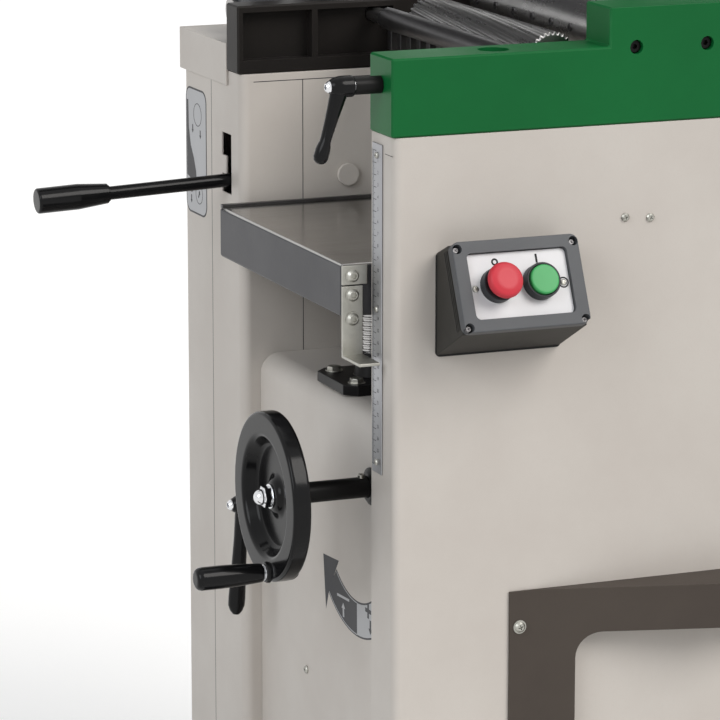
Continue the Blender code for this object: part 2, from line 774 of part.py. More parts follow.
def make_cap(cream):
    """Cap over the rear drive, with a hump over the upper pulley and skirts at its ends."""
    inside = CAP_PROUD - SHEET
    front = REAR_Y + CAP_FRONT
    foot = CAP_TOP - CAP_SKIRT
    body = block((LEFT_X - CAP_PROUD, front, foot), (RIGHT_X + CAP_PROUD, BACK_Y + CAP_PROUD, CAP_TOP))
    hump_front = front + SHEET
    hump = block((-HUMP_LENGTH / 2, hump_front, CAP_TOP - SHEET),
                 (HUMP_LENGTH / 2, hump_front + HUMP_DEPTH, CAP_TOP + HUMP_RISE))
    room = block((LEFT_X - inside, front + SHEET, foot - SHEET),
                 (RIGHT_X + inside, BACK_Y + inside, CAP_TOP - SHEET))
    hump_room = block((-HUMP_LENGTH / 2 + SHEET, hump_front + SHEET, CAP_TOP - 2 * SHEET),
                      (HUMP_LENGTH / 2 - SHEET, hump_front + HUMP_DEPTH - SHEET,
                       CAP_TOP + HUMP_RISE - SHEET))
    skirt_cut = block((LEFT_X - inside, front - SHEET, foot - SHEET),
                      (RIGHT_X + inside, front + 2 * SHEET, UPRIGHT_TOP + SEAT_GAP))
    shaft_gate = drum((0, front - SHEET, CUTTER_Z), 4 * SHEET, JOURNAL_RADIUS + 2 * RUN_GAP, ALONG_Y)
    keep(cut(join(body, hump), room, hump_room, skirt_cut, shaft_gate), "rear_cap", cream)


def beam_outline(low, shoulder, tall):
    """Front view of a beam with a taller middle."""
    end = RIGHT_X + BEAM_PROUD
    middle = BEAM_TALL_LENGTH / 2
    return [(-end, low), (end, low), (end, shoulder), (middle, shoulder),
            (middle, tall), (-middle, tall), (-middle, shoulder), (-end, shoulder)]


def make_front_beam(green):
    """Green cast beam that carries the front bearing and takes the table clamps."""
    depth = WALL_DEPTH - BEAM_SETBACK
    outline = beam_outline(WALL_TOP + SEAT_GAP, WALL_TOP + BEAM_SHOULDER, WALL_TOP + BEAM_TALL)
    beam = flat(outline, depth, FRONT_PLANE, (0, FRONT_Y + depth / 2, 0))
    ease(beam, BEAM_EDGE)
    inner = WALL_Y - BEAM_SETBACK
    cuts = [drum((0, inner - BEARING_WIDTH - SEAT_GAP, CUTTER_Z), BEARING_WIDTH + CUT_OVERRUN,
                 BEARING_RADIUS + SEAT_GAP, ALONG_Y, FINE_SIDES),
            drum((0, inner - 2 * BEARING_WIDTH, CUTTER_Z), 2 * BEARING_WIDTH,
                 BEARING_RADIUS - BEARING_WALL, ALONG_Y)]
    cuts += [drum((side * FRONT_SCREW_PITCH / 2, FRONT_Y - CUT_OVERRUN, WALL_TOP + FRONT_SCREW_RISE),
                  FRONT_SCREW_DEPTH, FRONT_SCREW_HOLE / 2, ALONG_Y, SMALL_SIDES) for side in (-1, 1)]
    cuts += [drum((side * (RIGHT_X - STUD_INSET), CLAMP_Y, WALL_TOP + BEAM_SHOULDER - STUD_BORE_DEPTH),
                  STUD_BORE_DEPTH + CUT_OVERRUN, STUD_BORE, UPRIGHT) for side in (-1, 1)]
    cuts += [drum((x, inner - JOURNAL_DEPTH, z), JOURNAL_DEPTH + CUT_OVERRUN, radius + RUN_GAP,
                  ALONG_Y, SMALL_SIDES) for x, z, radius in JOURNALS]
    keep(cut(beam, *cuts), "front_beam", green)


def make_rear_beam(black):
    """Black cast beam that carries the rear bearing and the table hinge."""
    front = REAR_Y + REAR_BEAM_OFFSET
    outline = beam_outline(UPRIGHT_TOP + SEAT_GAP, WALL_TOP + BEAM_SHOULDER, WALL_TOP + REAR_BEAM_TALL)
    beam = flat(outline, REAR_BEAM_DEPTH, FRONT_PLANE, (0, front + REAR_BEAM_DEPTH / 2, 0))
    ease(beam, BEAM_EDGE)
    cuts = [drum((0, front - CUT_OVERRUN, CUTTER_Z), BEARING_WIDTH + SEAT_GAP + CUT_OVERRUN,
                 BEARING_RADIUS + SEAT_GAP, ALONG_Y, FINE_SIDES),
            drum((0, front, CUTTER_Z), REAR_BEAM_DEPTH + CUT_OVERRUN,
                 BEARING_RADIUS - BEARING_WALL, ALONG_Y)]
    cuts += [drum((x, front - CUT_OVERRUN, z), JOURNAL_DEPTH + CUT_OVERRUN, radius + RUN_GAP,
                  ALONG_Y, SMALL_SIDES) for x, z, radius in JOURNALS]
    for side in (-1, 1):
        start = RIGHT_X + BEAM_PROUD - POCKET_RIB
        for length in (BODY_LENGTH * share for share in POCKET_SHARES):
            ends = sorted((side * start, side * (start - length)))
            cuts.append(block((ends[0], front - CUT_OVERRUN, UPRIGHT_TOP + POCKET_RIM),
                              (ends[1], front + POCKET_DEPTH, WALL_TOP + BEAM_SHOULDER - POCKET_RIM / 2)))
            start -= length + POCKET_RIB
    keep(cut(beam, *cuts), "rear_beam", black)


def bearing(name, start, steel):
    """Ball bearing as a ring with grooved faces."""
    middle = (JOURNAL_RADIUS + SEAT_GAP + BEARING_RADIUS) / 2
    inner = JOURNAL_RADIUS + SEAT_GAP
    outer = BEARING_RADIUS
    lip = BEARING_WALL / 2
    profile = [(outer, BEARING_WIDTH), (outer, 0), (middle + lip, 0), (middle + lip, BEARING_GROOVE),
               (middle - lip, BEARING_GROOVE), (middle - lip, 0), (inner, 0), (inner, BEARING_WIDTH),
               (middle - lip, BEARING_WIDTH), (middle - lip, BEARING_WIDTH - BEARING_GROOVE),
               (middle + lip, BEARING_WIDTH - BEARING_GROOVE), (middle + lip, BEARING_WIDTH)]
    keep(turned(profile, (0, start, CUTTER_Z), ALONG_Y, FINE_SIDES, ring=True), name, steel)


def make_cutterblock(steel):
    """Cutterblock with its journals, gullets and knives."""
    axis = axis_at("cutterblock_axis", (0, WALL_Y, CUTTER_Z))
    front = WALL_Y + CUTTER_END_GAP
    back = REAR_Y - CUTTER_END_GAP
    start = WALL_Y - BEAM_SETBACK - BEARING_WIDTH
    end = PULLEY_Y + BELT_WIDTH + PULLEY_RIM
    profile = [(0, end), (JOURNAL_RADIUS, end), (JOURNAL_RADIUS, back), (CUTTER_RADIUS, back),
               (CUTTER_RADIUS, front), (JOURNAL_RADIUS, front), (JOURNAL_RADIUS, start), (0, start)]
    body = turned(profile, (0, 0, CUTTER_Z), ALONG_Y, FINE_SIDES)
    cuts = []
    knives = []
    for number in range(KNIFE_COUNT):
        angle = 2 * pi * number / KNIFE_COUNT + pi / 2
        x = cos(angle) * CUTTER_RADIUS
        z = CUTTER_Z + sin(angle) * CUTTER_RADIUS
        side = Vector((-sin(angle), 0, cos(angle))) * GULLET_RADIUS
        cuts.append(drum((x + side.x, front - CUT_OVERRUN, z + side.z), back - front + 2 * CUT_OVERRUN,
                         GULLET_RADIUS, ALONG_Y, SMALL_SIDES))
        knife = block((-KNIFE_THICK / 2, front, CUTTER_RADIUS / 2),
                      (KNIFE_THICK / 2, back, CUTTER_RADIUS + KNIFE_STANDOUT))
        knife.rotation_euler = (0, pi / 2 - angle, 0)
        knife.location = (0, 0, CUTTER_Z)
        knives.append(knife)
    keep(join(cut(body, *cuts), *knives), "cutterblock", steel)
    carry(axis, body)


def pulley(name, x, z, radius, bore, metal):
    """Flat-belt pulley with two lips, on its shaft."""
    lip = radius + PULLEY_LIP
    width = BELT_WIDTH + 2 * PULLEY_RIM
    profile = [(lip, width), (lip, width - PULLEY_RIM / 2), (radius, width - PULLEY_RIM),
               (radius, PULLEY_RIM), (lip, PULLEY_RIM / 2), (lip, 0), (bore, 0), (bore, width)]
    start = PULLEY_Y - PULLEY_RIM
    return keep(turned(profile, (x, start, z), ALONG_Y, FINE_SIDES, ring=True), name, metal)


def make_drive(dark, grey, rubber):
    """Motor, both pulleys and the belt."""
    cutter_axis = bpy.data.objects["cutterblock_axis"]
    carry(cutter_axis, pulley("cutter_pulley", 0, CUTTER_Z, CUTTER_PULLEY_RADIUS,
                              JOURNAL_RADIUS + SEAT_GAP, grey))
    axis = axis_at("motor_axis", (MOTOR_X, REAR_Y, MOTOR_Z))
    start = WALL_Y + MOTOR_FRONT_GAP
    end = start + MOTOR_LENGTH
    flange = PULLEY_Y - PULLEY_RIM
    far = PULLEY_Y + BELT_WIDTH + PULLEY_RIM
    lip = MOTOR_PULLEY_RADIUS + PULLEY_LIP
    profile = [(0, far), (lip, far), (lip, far - PULLEY_RIM / 2), (MOTOR_PULLEY_RADIUS, far - PULLEY_RIM),
               (MOTOR_PULLEY_RADIUS, PULLEY_Y), (lip, PULLEY_Y - PULLEY_RIM / 2), (lip, flange),
               (MOTOR_SHAFT_RADIUS, flange), (MOTOR_SHAFT_RADIUS, end + SEAT_GAP), (0, end + SEAT_GAP)]
    rotor = keep(turned(profile, (MOTOR_X, 0, MOTOR_Z), ALONG_Y, FINE_SIDES), "motor_pulley", grey)
    carry(axis, rotor)
    shield = MOTOR_RADIUS * MOTOR_SHIELD_SHARE
    profile = [(0, MOTOR_LENGTH), (shield, MOTOR_LENGTH), (MOTOR_RADIUS, MOTOR_LENGTH - MOTOR_SHIELD),
               (MOTOR_RADIUS, MOTOR_SHIELD), (shield, 0), (0, 0)]
    motor = turned(profile, (MOTOR_X, start, MOTOR_Z), ALONG_Y, FINE_SIDES)
    middle = start + MOTOR_LENGTH / 2
    foot_low = MOTOR_Z - MOTOR_FOOT
    foot = block((MOTOR_X - MOTOR_FOOT_WIDTH / 2, middle - MOTOR_FOOT_LENGTH / 2, foot_low),
                 (MOTOR_X + MOTOR_FOOT_WIDTH / 2, middle + MOTOR_FOOT_LENGTH / 2,
                  MOTOR_Z - MOTOR_RADIUS * MOTOR_SHIELD_SHARE))
    keep(join(motor, foot), "motor", dark)
    circles = [(0, CUTTER_Z, CUTTER_PULLEY_RADIUS), (MOTOR_X, MOTOR_Z, MOTOR_PULLEY_RADIUS)]
    place = (0, PULLEY_Y + BELT_WIDTH / 2, 0)
    belt = flat(band_round(circles, SEAT_GAP + BELT_THICK), BELT_WIDTH - 2 * SEAT_GAP, FRONT_PLANE, place)
    inside = flat(band_round(circles, 2 * SEAT_GAP), 2 * BELT_WIDTH, FRONT_PLANE, place)
    keep(cut(belt, inside), "drive_belt", rubber)


def make_rollers(steel, grey):
    """Feed rollers, the finger shaft and the row of anti-kickback fingers."""
    front = WALL_Y + ROLLER_END_GAP
    back = REAR_Y - ROLLER_END_GAP
    reach_front = WALL_Y - BEAM_SETBACK - JOURNAL_DEPTH + SEAT_GAP
    reach_back = REAR_Y + REAR_BEAM_OFFSET + JOURNAL_DEPTH - SEAT_GAP
    for name, side in (("infeed_roller", -1), ("outfeed_roller", 1)):
        profile = [(0, reach_back), (ROLLER_JOURNAL, reach_back), (ROLLER_JOURNAL, back),
                   (ROLLER_RADIUS, back), (ROLLER_RADIUS, front), (ROLLER_JOURNAL, front),
                   (ROLLER_JOURNAL, reach_front), (0, reach_front)]
        x = side * ROLLER_PITCH / 2
        roller = keep(turned(profile, (x, 0, ROLLER_Z), ALONG_Y, FINE_SIDES), name, steel)
        carry(axis_at(name + "_axis", (x, WALL_Y, ROLLER_Z)), roller)
    shaft = drum((FINGER_X, reach_front, FINGER_Z), reach_back - reach_front, FINGER_SHAFT_RADIUS,
                 ALONG_Y, SMALL_SIDES)
    keep(shaft, "finger_shaft", steel)
    bore = FINGER_SHAFT_RADIUS + RUN_GAP
    length = back - front
    profile = [(FINGER_SLEEVE, length), (FINGER_SLEEVE, 0), (bore, 0), (bore, length)]
    sleeve = turned(profile, (FINGER_X, front, FINGER_Z), ALONG_Y, SMALL_SIDES, ring=True)
    pitch = length / FINGER_COUNT
    root = (bore + FINGER_SLEEVE) / 2
    outline = [(-FINGER_TIP / 2, -root), (-FINGER_TIP / 2, -FINGER_LENGTH), (FINGER_TIP, -FINGER_LENGTH),
               (FINGER_TIP / 2, -root)]
    fingers = []
    for number in range(FINGER_COUNT):
        middle = front + pitch * number + pitch / 2
        fingers.append(flat(outline, FINGER_WIDTH, FRONT_PLANE, (FINGER_X, middle, FINGER_Z)))
    row = keep(join(sleeve, *fingers), "kickback_fingers", grey)
    carry(axis_at("finger_axis", (FINGER_X, WALL_Y, FINGER_Z)), row)


def make_thickness_table(grey, steel):
    """Thickness table with its two lift screws, pointer tab and angle bracket."""
    lift = axis_at("table_lift", (0, LIFT_Y, TABLE_TOP))
    front = WALL_Y + TABLE_SIDE_GAP
    back = front + TABLE_WIDTH
    end = TABLE_LENGTH / 2
    bottom = TABLE_TOP - TABLE_THICK
    table = ease(block((-end, front, bottom), (end, back, TABLE_TOP)), TABLE_EDGE)
    inner = LIFT_PITCH / 2 - TABLE_BOSS / 2
    outer = LIFT_PITCH / 2 + TABLE_BOSS / 2
    bays = [(-inner, inner), (-end + TABLE_RIM, -outer), (outer, end - TABLE_RIM)]
    hollows = [block((low, front + TABLE_RIM, bottom - CUT_OVERRUN),
                     (high, back - TABLE_RIM, TABLE_TOP - TABLE_PLATE)) for low, high in bays]
    sockets = [drum((x, LIFT_Y, bottom - CUT_OVERRUN), SCREW_SEAT + CUT_OVERRUN,
                    LIFT_SCREW_RADIUS + SEAT_GAP, UPRIGHT) for x in LIFT_X]
    keep(cut(table, *hollows, *sockets), "thickness_table", grey)
    screws = []
    for name, x in (("lift_screw_left", LIFT_X[0]), ("lift_screw_right", LIFT_X[1])):
        screw = drum((x, LIFT_Y, bottom + SCREW_SEAT - SEAT_GAP - LIFT_SCREW_LENGTH), LIFT_SCREW_LENGTH,
                     LIFT_SCREW_RADIUS, UPRIGHT)
        screws.append(keep(screw, name, steel))
    tab_back = front - SEAT_GAP
    tab = block((-end, tab_back - TAB_THICK, TABLE_TOP - TAB_DROP - TAB_HEIGHT),
                (-end + TAB_LENGTH, tab_back, TABLE_TOP - TAB_DROP))
    keep(tab, "pointer_tab", steel)
    angle_top = TABLE_TOP - ANGLE_TOP_DROP - SEAT_GAP - TAB_DROP
    angle = block((-end, tab_back - TAB_THICK, angle_top - ANGLE_HEIGHT),
                  (-end + ANGLE_WIDTH, tab_back, angle_top))
    flange = block((-end, tab_back - ANGLE_FLANGE, angle_top - ANGLE_HEIGHT),
                   (-end + ANGLE_WIDTH, tab_back - TAB_THICK / 2, angle_top - ANGLE_HEIGHT + TAB_THICK))
    keep(join(angle, flange), "angle_bracket", steel)
    carry(lift, table, *screws, tab, angle)


def toothed(radius, teeth, tooth):
    """Outline of a sprocket with plain teeth."""
    points = []
    step = 2 * pi / teeth
    for number in range(teeth):
        for share, reach in zip(TOOTH_SHARES, (radius, radius + tooth, radius + tooth, radius)):
            angle = step * (number + share)
            points.append((reach * cos(angle), reach * sin(angle)))
    return points


def make_lift_drive(black, steel, bronze, dark):
    """Screw housings on the deck, turning nuts under it, the chain and the bevel drive."""
    half = HOUSING_SIDE / 2
    rim = half - HOUSING_CHAMFER
    outline = [(half, -rim), (half, rim), (rim, half), (-rim, half), (-half, rim), (-half, -rim),
               (-rim, -half), (rim, -half)]
    foot = DECK_TOP + SEAT_GAP
    bore_depth = HOUSING_THICK + HOUSING_BOSS_HEIGHT + 2 * CUT_OVERRUN
    for name, x in (("screw_housing_left", LIFT_X[0]), ("screw_housing_right", LIFT_X[1])):
        plate = flat(outline, HOUSING_THICK, UPRIGHT, (x, LIFT_Y, foot + HOUSING_THICK / 2))
        boss = drum((x, LIFT_Y, foot + HOUSING_THICK / 2), HOUSING_THICK / 2 + HOUSING_BOSS_HEIGHT,
                    HOUSING_BOSS, UPRIGHT, end_radius=HOUSING_BOSS - HOUSING_THICK / 2)
        bore = drum((x, LIFT_Y, DECK_TOP - CUT_OVERRUN), bore_depth, LIFT_SCREW_RADIUS + RUN_GAP, UPRIGHT)
        keep(cut(join(plate, boss), bore), name, black)
    low = DECK_TOP - SHEET - SEAT_GAP - SPROCKET_HUB_HEIGHT
    chain_z = low + SPROCKET_THICK / 2
    centres = [(LIFT_X[0], LIFT_Y), (LIFT_X[1], LIFT_Y), (GEAR_X, WHEEL_Y)]
    for name, (x, y) in zip(("lift_nut_left", "lift_nut_right"), centres):
        wheel = flat(toothed(SPROCKET_RADIUS, SPROCKET_TEETH, SPROCKET_TOOTH), SPROCKET_THICK, UPRIGHT,
                     (x, y, chain_z))
        hub = drum((x, y, low), SPROCKET_HUB_HEIGHT, SPROCKET_HUB, UPRIGHT)
        bore = drum((x, y, low - CUT_OVERRUN), SPROCKET_HUB_HEIGHT + 2 * CUT_OVERRUN,
                    LIFT_SCREW_RADIUS + SEAT_GAP, UPRIGHT)
        nut = keep(cut(join(wheel, hub), bore), name, bronze)
        carry(axis_at(name + "_axis", (x, y, low)), nut)
    x, y = centres[2]
    wheel = flat(toothed(SPROCKET_RADIUS, SPROCKET_TEETH, SPROCKET_TOOTH), SPROCKET_THICK, UPRIGHT,
                 (x, y, chain_z))
    gear_foot = WHEEL_Z + BEVEL_RADIUS * BEVEL_SMALL_SHARE + RUN_GAP
    stem_top = low + SPROCKET_HUB_HEIGHT - gear_foot
    profile = [(0, stem_top), (GEAR_STEM_RADIUS, stem_top), (GEAR_STEM_RADIUS, BEVEL_WIDTH),
               (BEVEL_RADIUS, BEVEL_WIDTH), (BEVEL_RADIUS * BEVEL_SMALL_SHARE, 0), (0, 0)]
    train = keep(join(turned(profile, (x, y, gear_foot), UPRIGHT, SMALL_SIDES), wheel),
                 "chain_drive_gear", steel)
    carry(axis_at("chain_drive_axis", (x, y, gear_foot)), train)
    circles = [(x, y, SPROCKET_RADIUS + SPROCKET_TOOTH) for x, y in centres]
    chain = flat(band_round(circles, SEAT_GAP + CHAIN_THICK), CHAIN_WIDTH, UPRIGHT, (0, 0, chain_z))
    inside = flat(band_round(circles, 2 * SEAT_GAP), 2 * CHAIN_WIDTH, UPRIGHT, (0, 0, chain_z))
    keep(cut(chain, inside), "lift_chain", dark)
    left = LEFT_X + CABINET_INSET + SHEET + SEAT_GAP
    hanger_end = left + GEAR_HANGER_LENGTH
    hanger_top = chain_z - SPROCKET_THICK / 2 - CHAIN_WIDTH
    side = GEAR_HANGER_DEPTH / 2
    shelf = block((left, WHEEL_Y - side, hanger_top - GEAR_PLATE), (hanger_end, WHEEL_Y + side, hanger_top))
    cheek_low = WHEEL_Z - 2 * SHAFT_RADIUS
    cheeks = [block((x, WHEEL_Y - side, cheek_low), (x + GEAR_PLATE, WHEEL_Y + side, hanger_top))
              for x in (left, left + SHAFT_CHEEK)]
    stem_hole = drum((GEAR_X, WHEEL_Y, hanger_top - 2 * GEAR_PLATE), 3 * GEAR_PLATE,
                     GEAR_STEM_RADIUS + RUN_GAP, UPRIGHT)
    shaft_hole = drum((left - CUT_OVERRUN, WHEEL_Y, WHEEL_Z), SHAFT_CHEEK + GEAR_PLATE + 2 * CUT_OVERRUN,
                      SHAFT_RADIUS + RUN_GAP, ALONG_X)
    keep(cut(join(shelf, *cheeks), stem_hole, shaft_hole), "gear_hanger", dark)


def make_handwheel(black, chrome, gloss):
    """Handwheel on its shaft, with the dome nut, the crank and the flange it runs in."""
    axis = axis_at("handwheel_axis", (LEFT_X, WHEEL_Y, WHEEL_Z))
    wall = LEFT_X + CABINET_INSET - SEAT_GAP
    wheel_back = wall - WHEEL_STANDOFF
    wheel_front = wheel_back - WHEEL_RIM
    centre = (0, WHEEL_Y, WHEEL_Z)
    profile = [(0, GEAR_X - BEVEL_RADIUS), (BEVEL_RADIUS * BEVEL_SMALL_SHARE, GEAR_X - BEVEL_RADIUS),
               (BEVEL_RADIUS, GEAR_X - BEVEL_RADIUS - BEVEL_WIDTH),
               (SHAFT_RADIUS, GEAR_X - BEVEL_RADIUS - BEVEL_WIDTH),
               (SHAFT_RADIUS, wheel_back + HUB_PROUD + SEAT_GAP),
               (SPIGOT_RADIUS, wheel_back + HUB_PROUD + SEAT_GAP),
               (SPIGOT_RADIUS, wheel_back + HUB_PROUD + SEAT_GAP - SPIGOT_LENGTH),
               (0, wheel_back + HUB_PROUD + SEAT_GAP - SPIGOT_LENGTH)]
    shaft = keep(turned(profile, centre, ALONG_X), "handwheel_shaft", black)
    dish = WHEEL_DISH_RADIUS
    bevel = WHEEL_EDGE
    web_front = wheel_front + WHEEL_DISH_DEPTH
    web_back = web_front + WHEEL_WEB
    hub_front = wheel_back + HUB_PROUD - WHEEL_HUB_LENGTH
    profile = [(WHEEL_BORE, wheel_back + HUB_PROUD), (WHEEL_HUB_RADIUS, wheel_back + HUB_PROUD),
               (WHEEL_HUB_RADIUS, web_back), (dish - bevel, web_back), (dish, wheel_back),
               (WHEEL_RADIUS - bevel, wheel_back), (WHEEL_RADIUS, wheel_back - bevel),
               (WHEEL_RADIUS, wheel_front + bevel), (WHEEL_RADIUS - bevel, wheel_front),
               (dish + bevel / 2, wheel_front), (dish - bevel / 2, wheel_front + bevel),
               (dish - WHEEL_DISH_DEPTH, web_front), (WHEEL_HUB_RADIUS, web_front),
               (WHEEL_HUB_RADIUS, hub_front), (WHEEL_BORE, hub_front)]
    wheel = turned(profile, centre, ALONG_X, FINE_SIDES, ring=True)
    crank_y = WHEEL_Y - CRANK_FORWARD
    crank_z = WHEEL_Z - sqrt(CRANK_RADIUS ** 2 - CRANK_FORWARD ** 2)
    pin_front = wheel_front - FERRULE_LENGTH
    ferrule = drum((pin_front, crank_y, crank_z), FERRULE_LENGTH + bevel, FERRULE_RADIUS, ALONG_X,
                   SMALL_SIDES)
    pin = drum((pin_front - GRIP_LENGTH * PIN_SHARE, crank_y, crank_z), GRIP_LENGTH * PIN_SHARE + bevel,
               CRANK_PIN_RADIUS, ALONG_X, SMALL_SIDES)
    keep(join(wheel, ferrule, pin), "handwheel", gloss)
    nut_back = hub_front - SEAT_GAP
    tip = wheel_back + HUB_PROUD - SPIGOT_LENGTH
    profile = [(0, tip - SEAT_GAP), (SPIGOT_RADIUS + SEAT_GAP, tip - SEAT_GAP),
               (SPIGOT_RADIUS + SEAT_GAP, nut_back), (DOME_RADIUS + DOME_COLLAR, nut_back),
               (DOME_RADIUS + DOME_COLLAR, nut_back - DOME_COLLAR), (DOME_RADIUS, nut_back - DOME_COLLAR)]
    dome_start = nut_back - DOME_COLLAR - DOME_STEP
    profile += [(DOME_RADIUS * cos(turn), dome_start - DOME_RADIUS * sin(turn))
                for turn in DOME_TURNS]
    profile += [(0, dome_start - DOME_RADIUS)]
    nut = keep(turned(profile, centre, ALONG_X, ROUND_SIDES), "dome_nut", chrome)
    grip_start = pin_front - SEAT_GAP
    grip_end = grip_start - GRIP_LENGTH
    bore = CRANK_PIN_RADIUS + SEAT_GAP
    deep = grip_start - GRIP_LENGTH * PIN_SHARE - 2 * SEAT_GAP
    profile = [(0, deep), (bore, deep), (bore, grip_start), (GRIP_NECK, grip_start),
               (GRIP_RADIUS, grip_start - GRIP_LENGTH / 2), (GRIP_RADIUS, grip_end + 2 * bevel),
               (GRIP_RADIUS - bevel, grip_end), (0, grip_end)]
    grip = keep(turned(profile, (0, crank_y, crank_z), ALONG_X), "crank_grip", gloss)
    carry(axis, shaft, wheel, nut)
    carry(axis_at("crank_axis", (wheel_front, crank_y, crank_z)), grip)
    bore = SHAFT_RADIUS + RUN_GAP
    face = wall - FLANGE_THICK
    profile = [(FLANGE_RADIUS, wall), (FLANGE_RADIUS, face), (bore, face), (bore, wall)]
    keep(turned(profile, centre, ALONG_X, ring=True), "shaft_flange", black)


def clamping_lever(name, face_x, y, z, side, length, splay, black):
    """Spacer, hub and hanging arm of an adjustable clamping lever."""
    axis = axis_at(name + "_axis", (face_x, y, z))
    out = side
    start = face_x + out * SEAT_GAP
    turn = ALONG_X if out > 0 else (0, -pi / 2, 0)
    spacer = drum((start, y, z), LEVER_SPACER_LENGTH + LEVER_HUB_LENGTH / 2, LEVER_SPACER_RADIUS, turn,
                  SMALL_SIDES)
    hub_start = start + out * LEVER_SPACER_LENGTH
    hub = drum((hub_start, y, z), LEVER_HUB_LENGTH, LEVER_HUB_RADIUS, turn, ROUND_SIDES)
    root = Vector((hub_start + out * LEVER_HUB_LENGTH / 2, y, z))
    down = Vector((out * sin(splay), 0, -cos(splay)))
    lean = (0, pi - out * splay, 0)
    arm = drum(root, length * ARM_SHARE, LEVER_ARM_ROOT, lean, SMALL_SIDES, end_radius=LEVER_ARM_RADIUS)
    paddle = drum(root + down * length * PADDLE_SHARE, length * (1 - PADDLE_SHARE), LEVER_ARM_RADIUS, lean,
                  SMALL_SIDES, end_radius=LEVER_ARM_TIP)
    lever = keep(join(hub, spacer, arm, paddle), name, black)
    carry(axis, lever)


def make_feed_lever(black, steel):
    """Feed lever in its slot, with its grip and the pin it turns on."""
    axis = axis_at("feed_lever_axis", (FEED_X, FEED_Y, FEED_Z))
    eye = drum((FEED_X, FEED_Y - FEED_EYE_WIDTH / 2, FEED_Z), FEED_EYE_WIDTH, FEED_EYE_RADIUS, ALONG_Y)
    outward = Vector((-cos(FEED_DROOP), 0, -sin(FEED_DROOP)))
    pivot = Vector((FEED_X, FEED_Y, FEED_Z))
    turn = (0, -pi / 2 - FEED_DROOP, 0)
    reach = FEED_PIVOT_IN + FEED_GRIP_START
    stub = FEED_GRIP_LENGTH * PIN_SHARE
    rod = drum(pivot, reach + stub, FEED_ROD_RADIUS, turn, ROUND_SIDES)
    bore = drum((FEED_X, FEED_Y - FEED_EYE_WIDTH, FEED_Z), 2 * FEED_EYE_WIDTH, FEED_PIN_RADIUS + RUN_GAP,
                ALONG_Y, SMALL_SIDES)
    lever = keep(cut(join(eye, rod), bore), "feed_lever", black)
    hole = FEED_ROD_RADIUS + SEAT_GAP
    bevel = WHEEL_EDGE
    long = FEED_GRIP_LENGTH
    profile = [(0, long), (FEED_GRIP_RADIUS - bevel, long), (FEED_GRIP_RADIUS, long - bevel),
               (FEED_GRIP_RADIUS, long / 2), (FEED_GRIP_NECK, 0), (hole, 0),
               (hole, stub + 2 * SEAT_GAP), (0, stub + 2 * SEAT_GAP)]
    grip = keep(turned(profile, pivot + outward * reach, turn), "feed_grip", black)
    carry(axis, lever, grip)
    head = REAR_Y - SEAT_GAP
    profile = [(0, FEED_PIN_LENGTH), (FEED_PIN_RADIUS, FEED_PIN_LENGTH), (FEED_PIN_RADIUS, 0),
               (FEED_PIN_HEAD, 0), (FEED_PIN_HEAD, -FEED_PIN_HEAD_THICK), (0, -FEED_PIN_HEAD_THICK)]
    keep(turned(profile, (FEED_X, head, FEED_Z), ALONG_Y, SMALL_SIDES), "feed_lever_pin", steel)


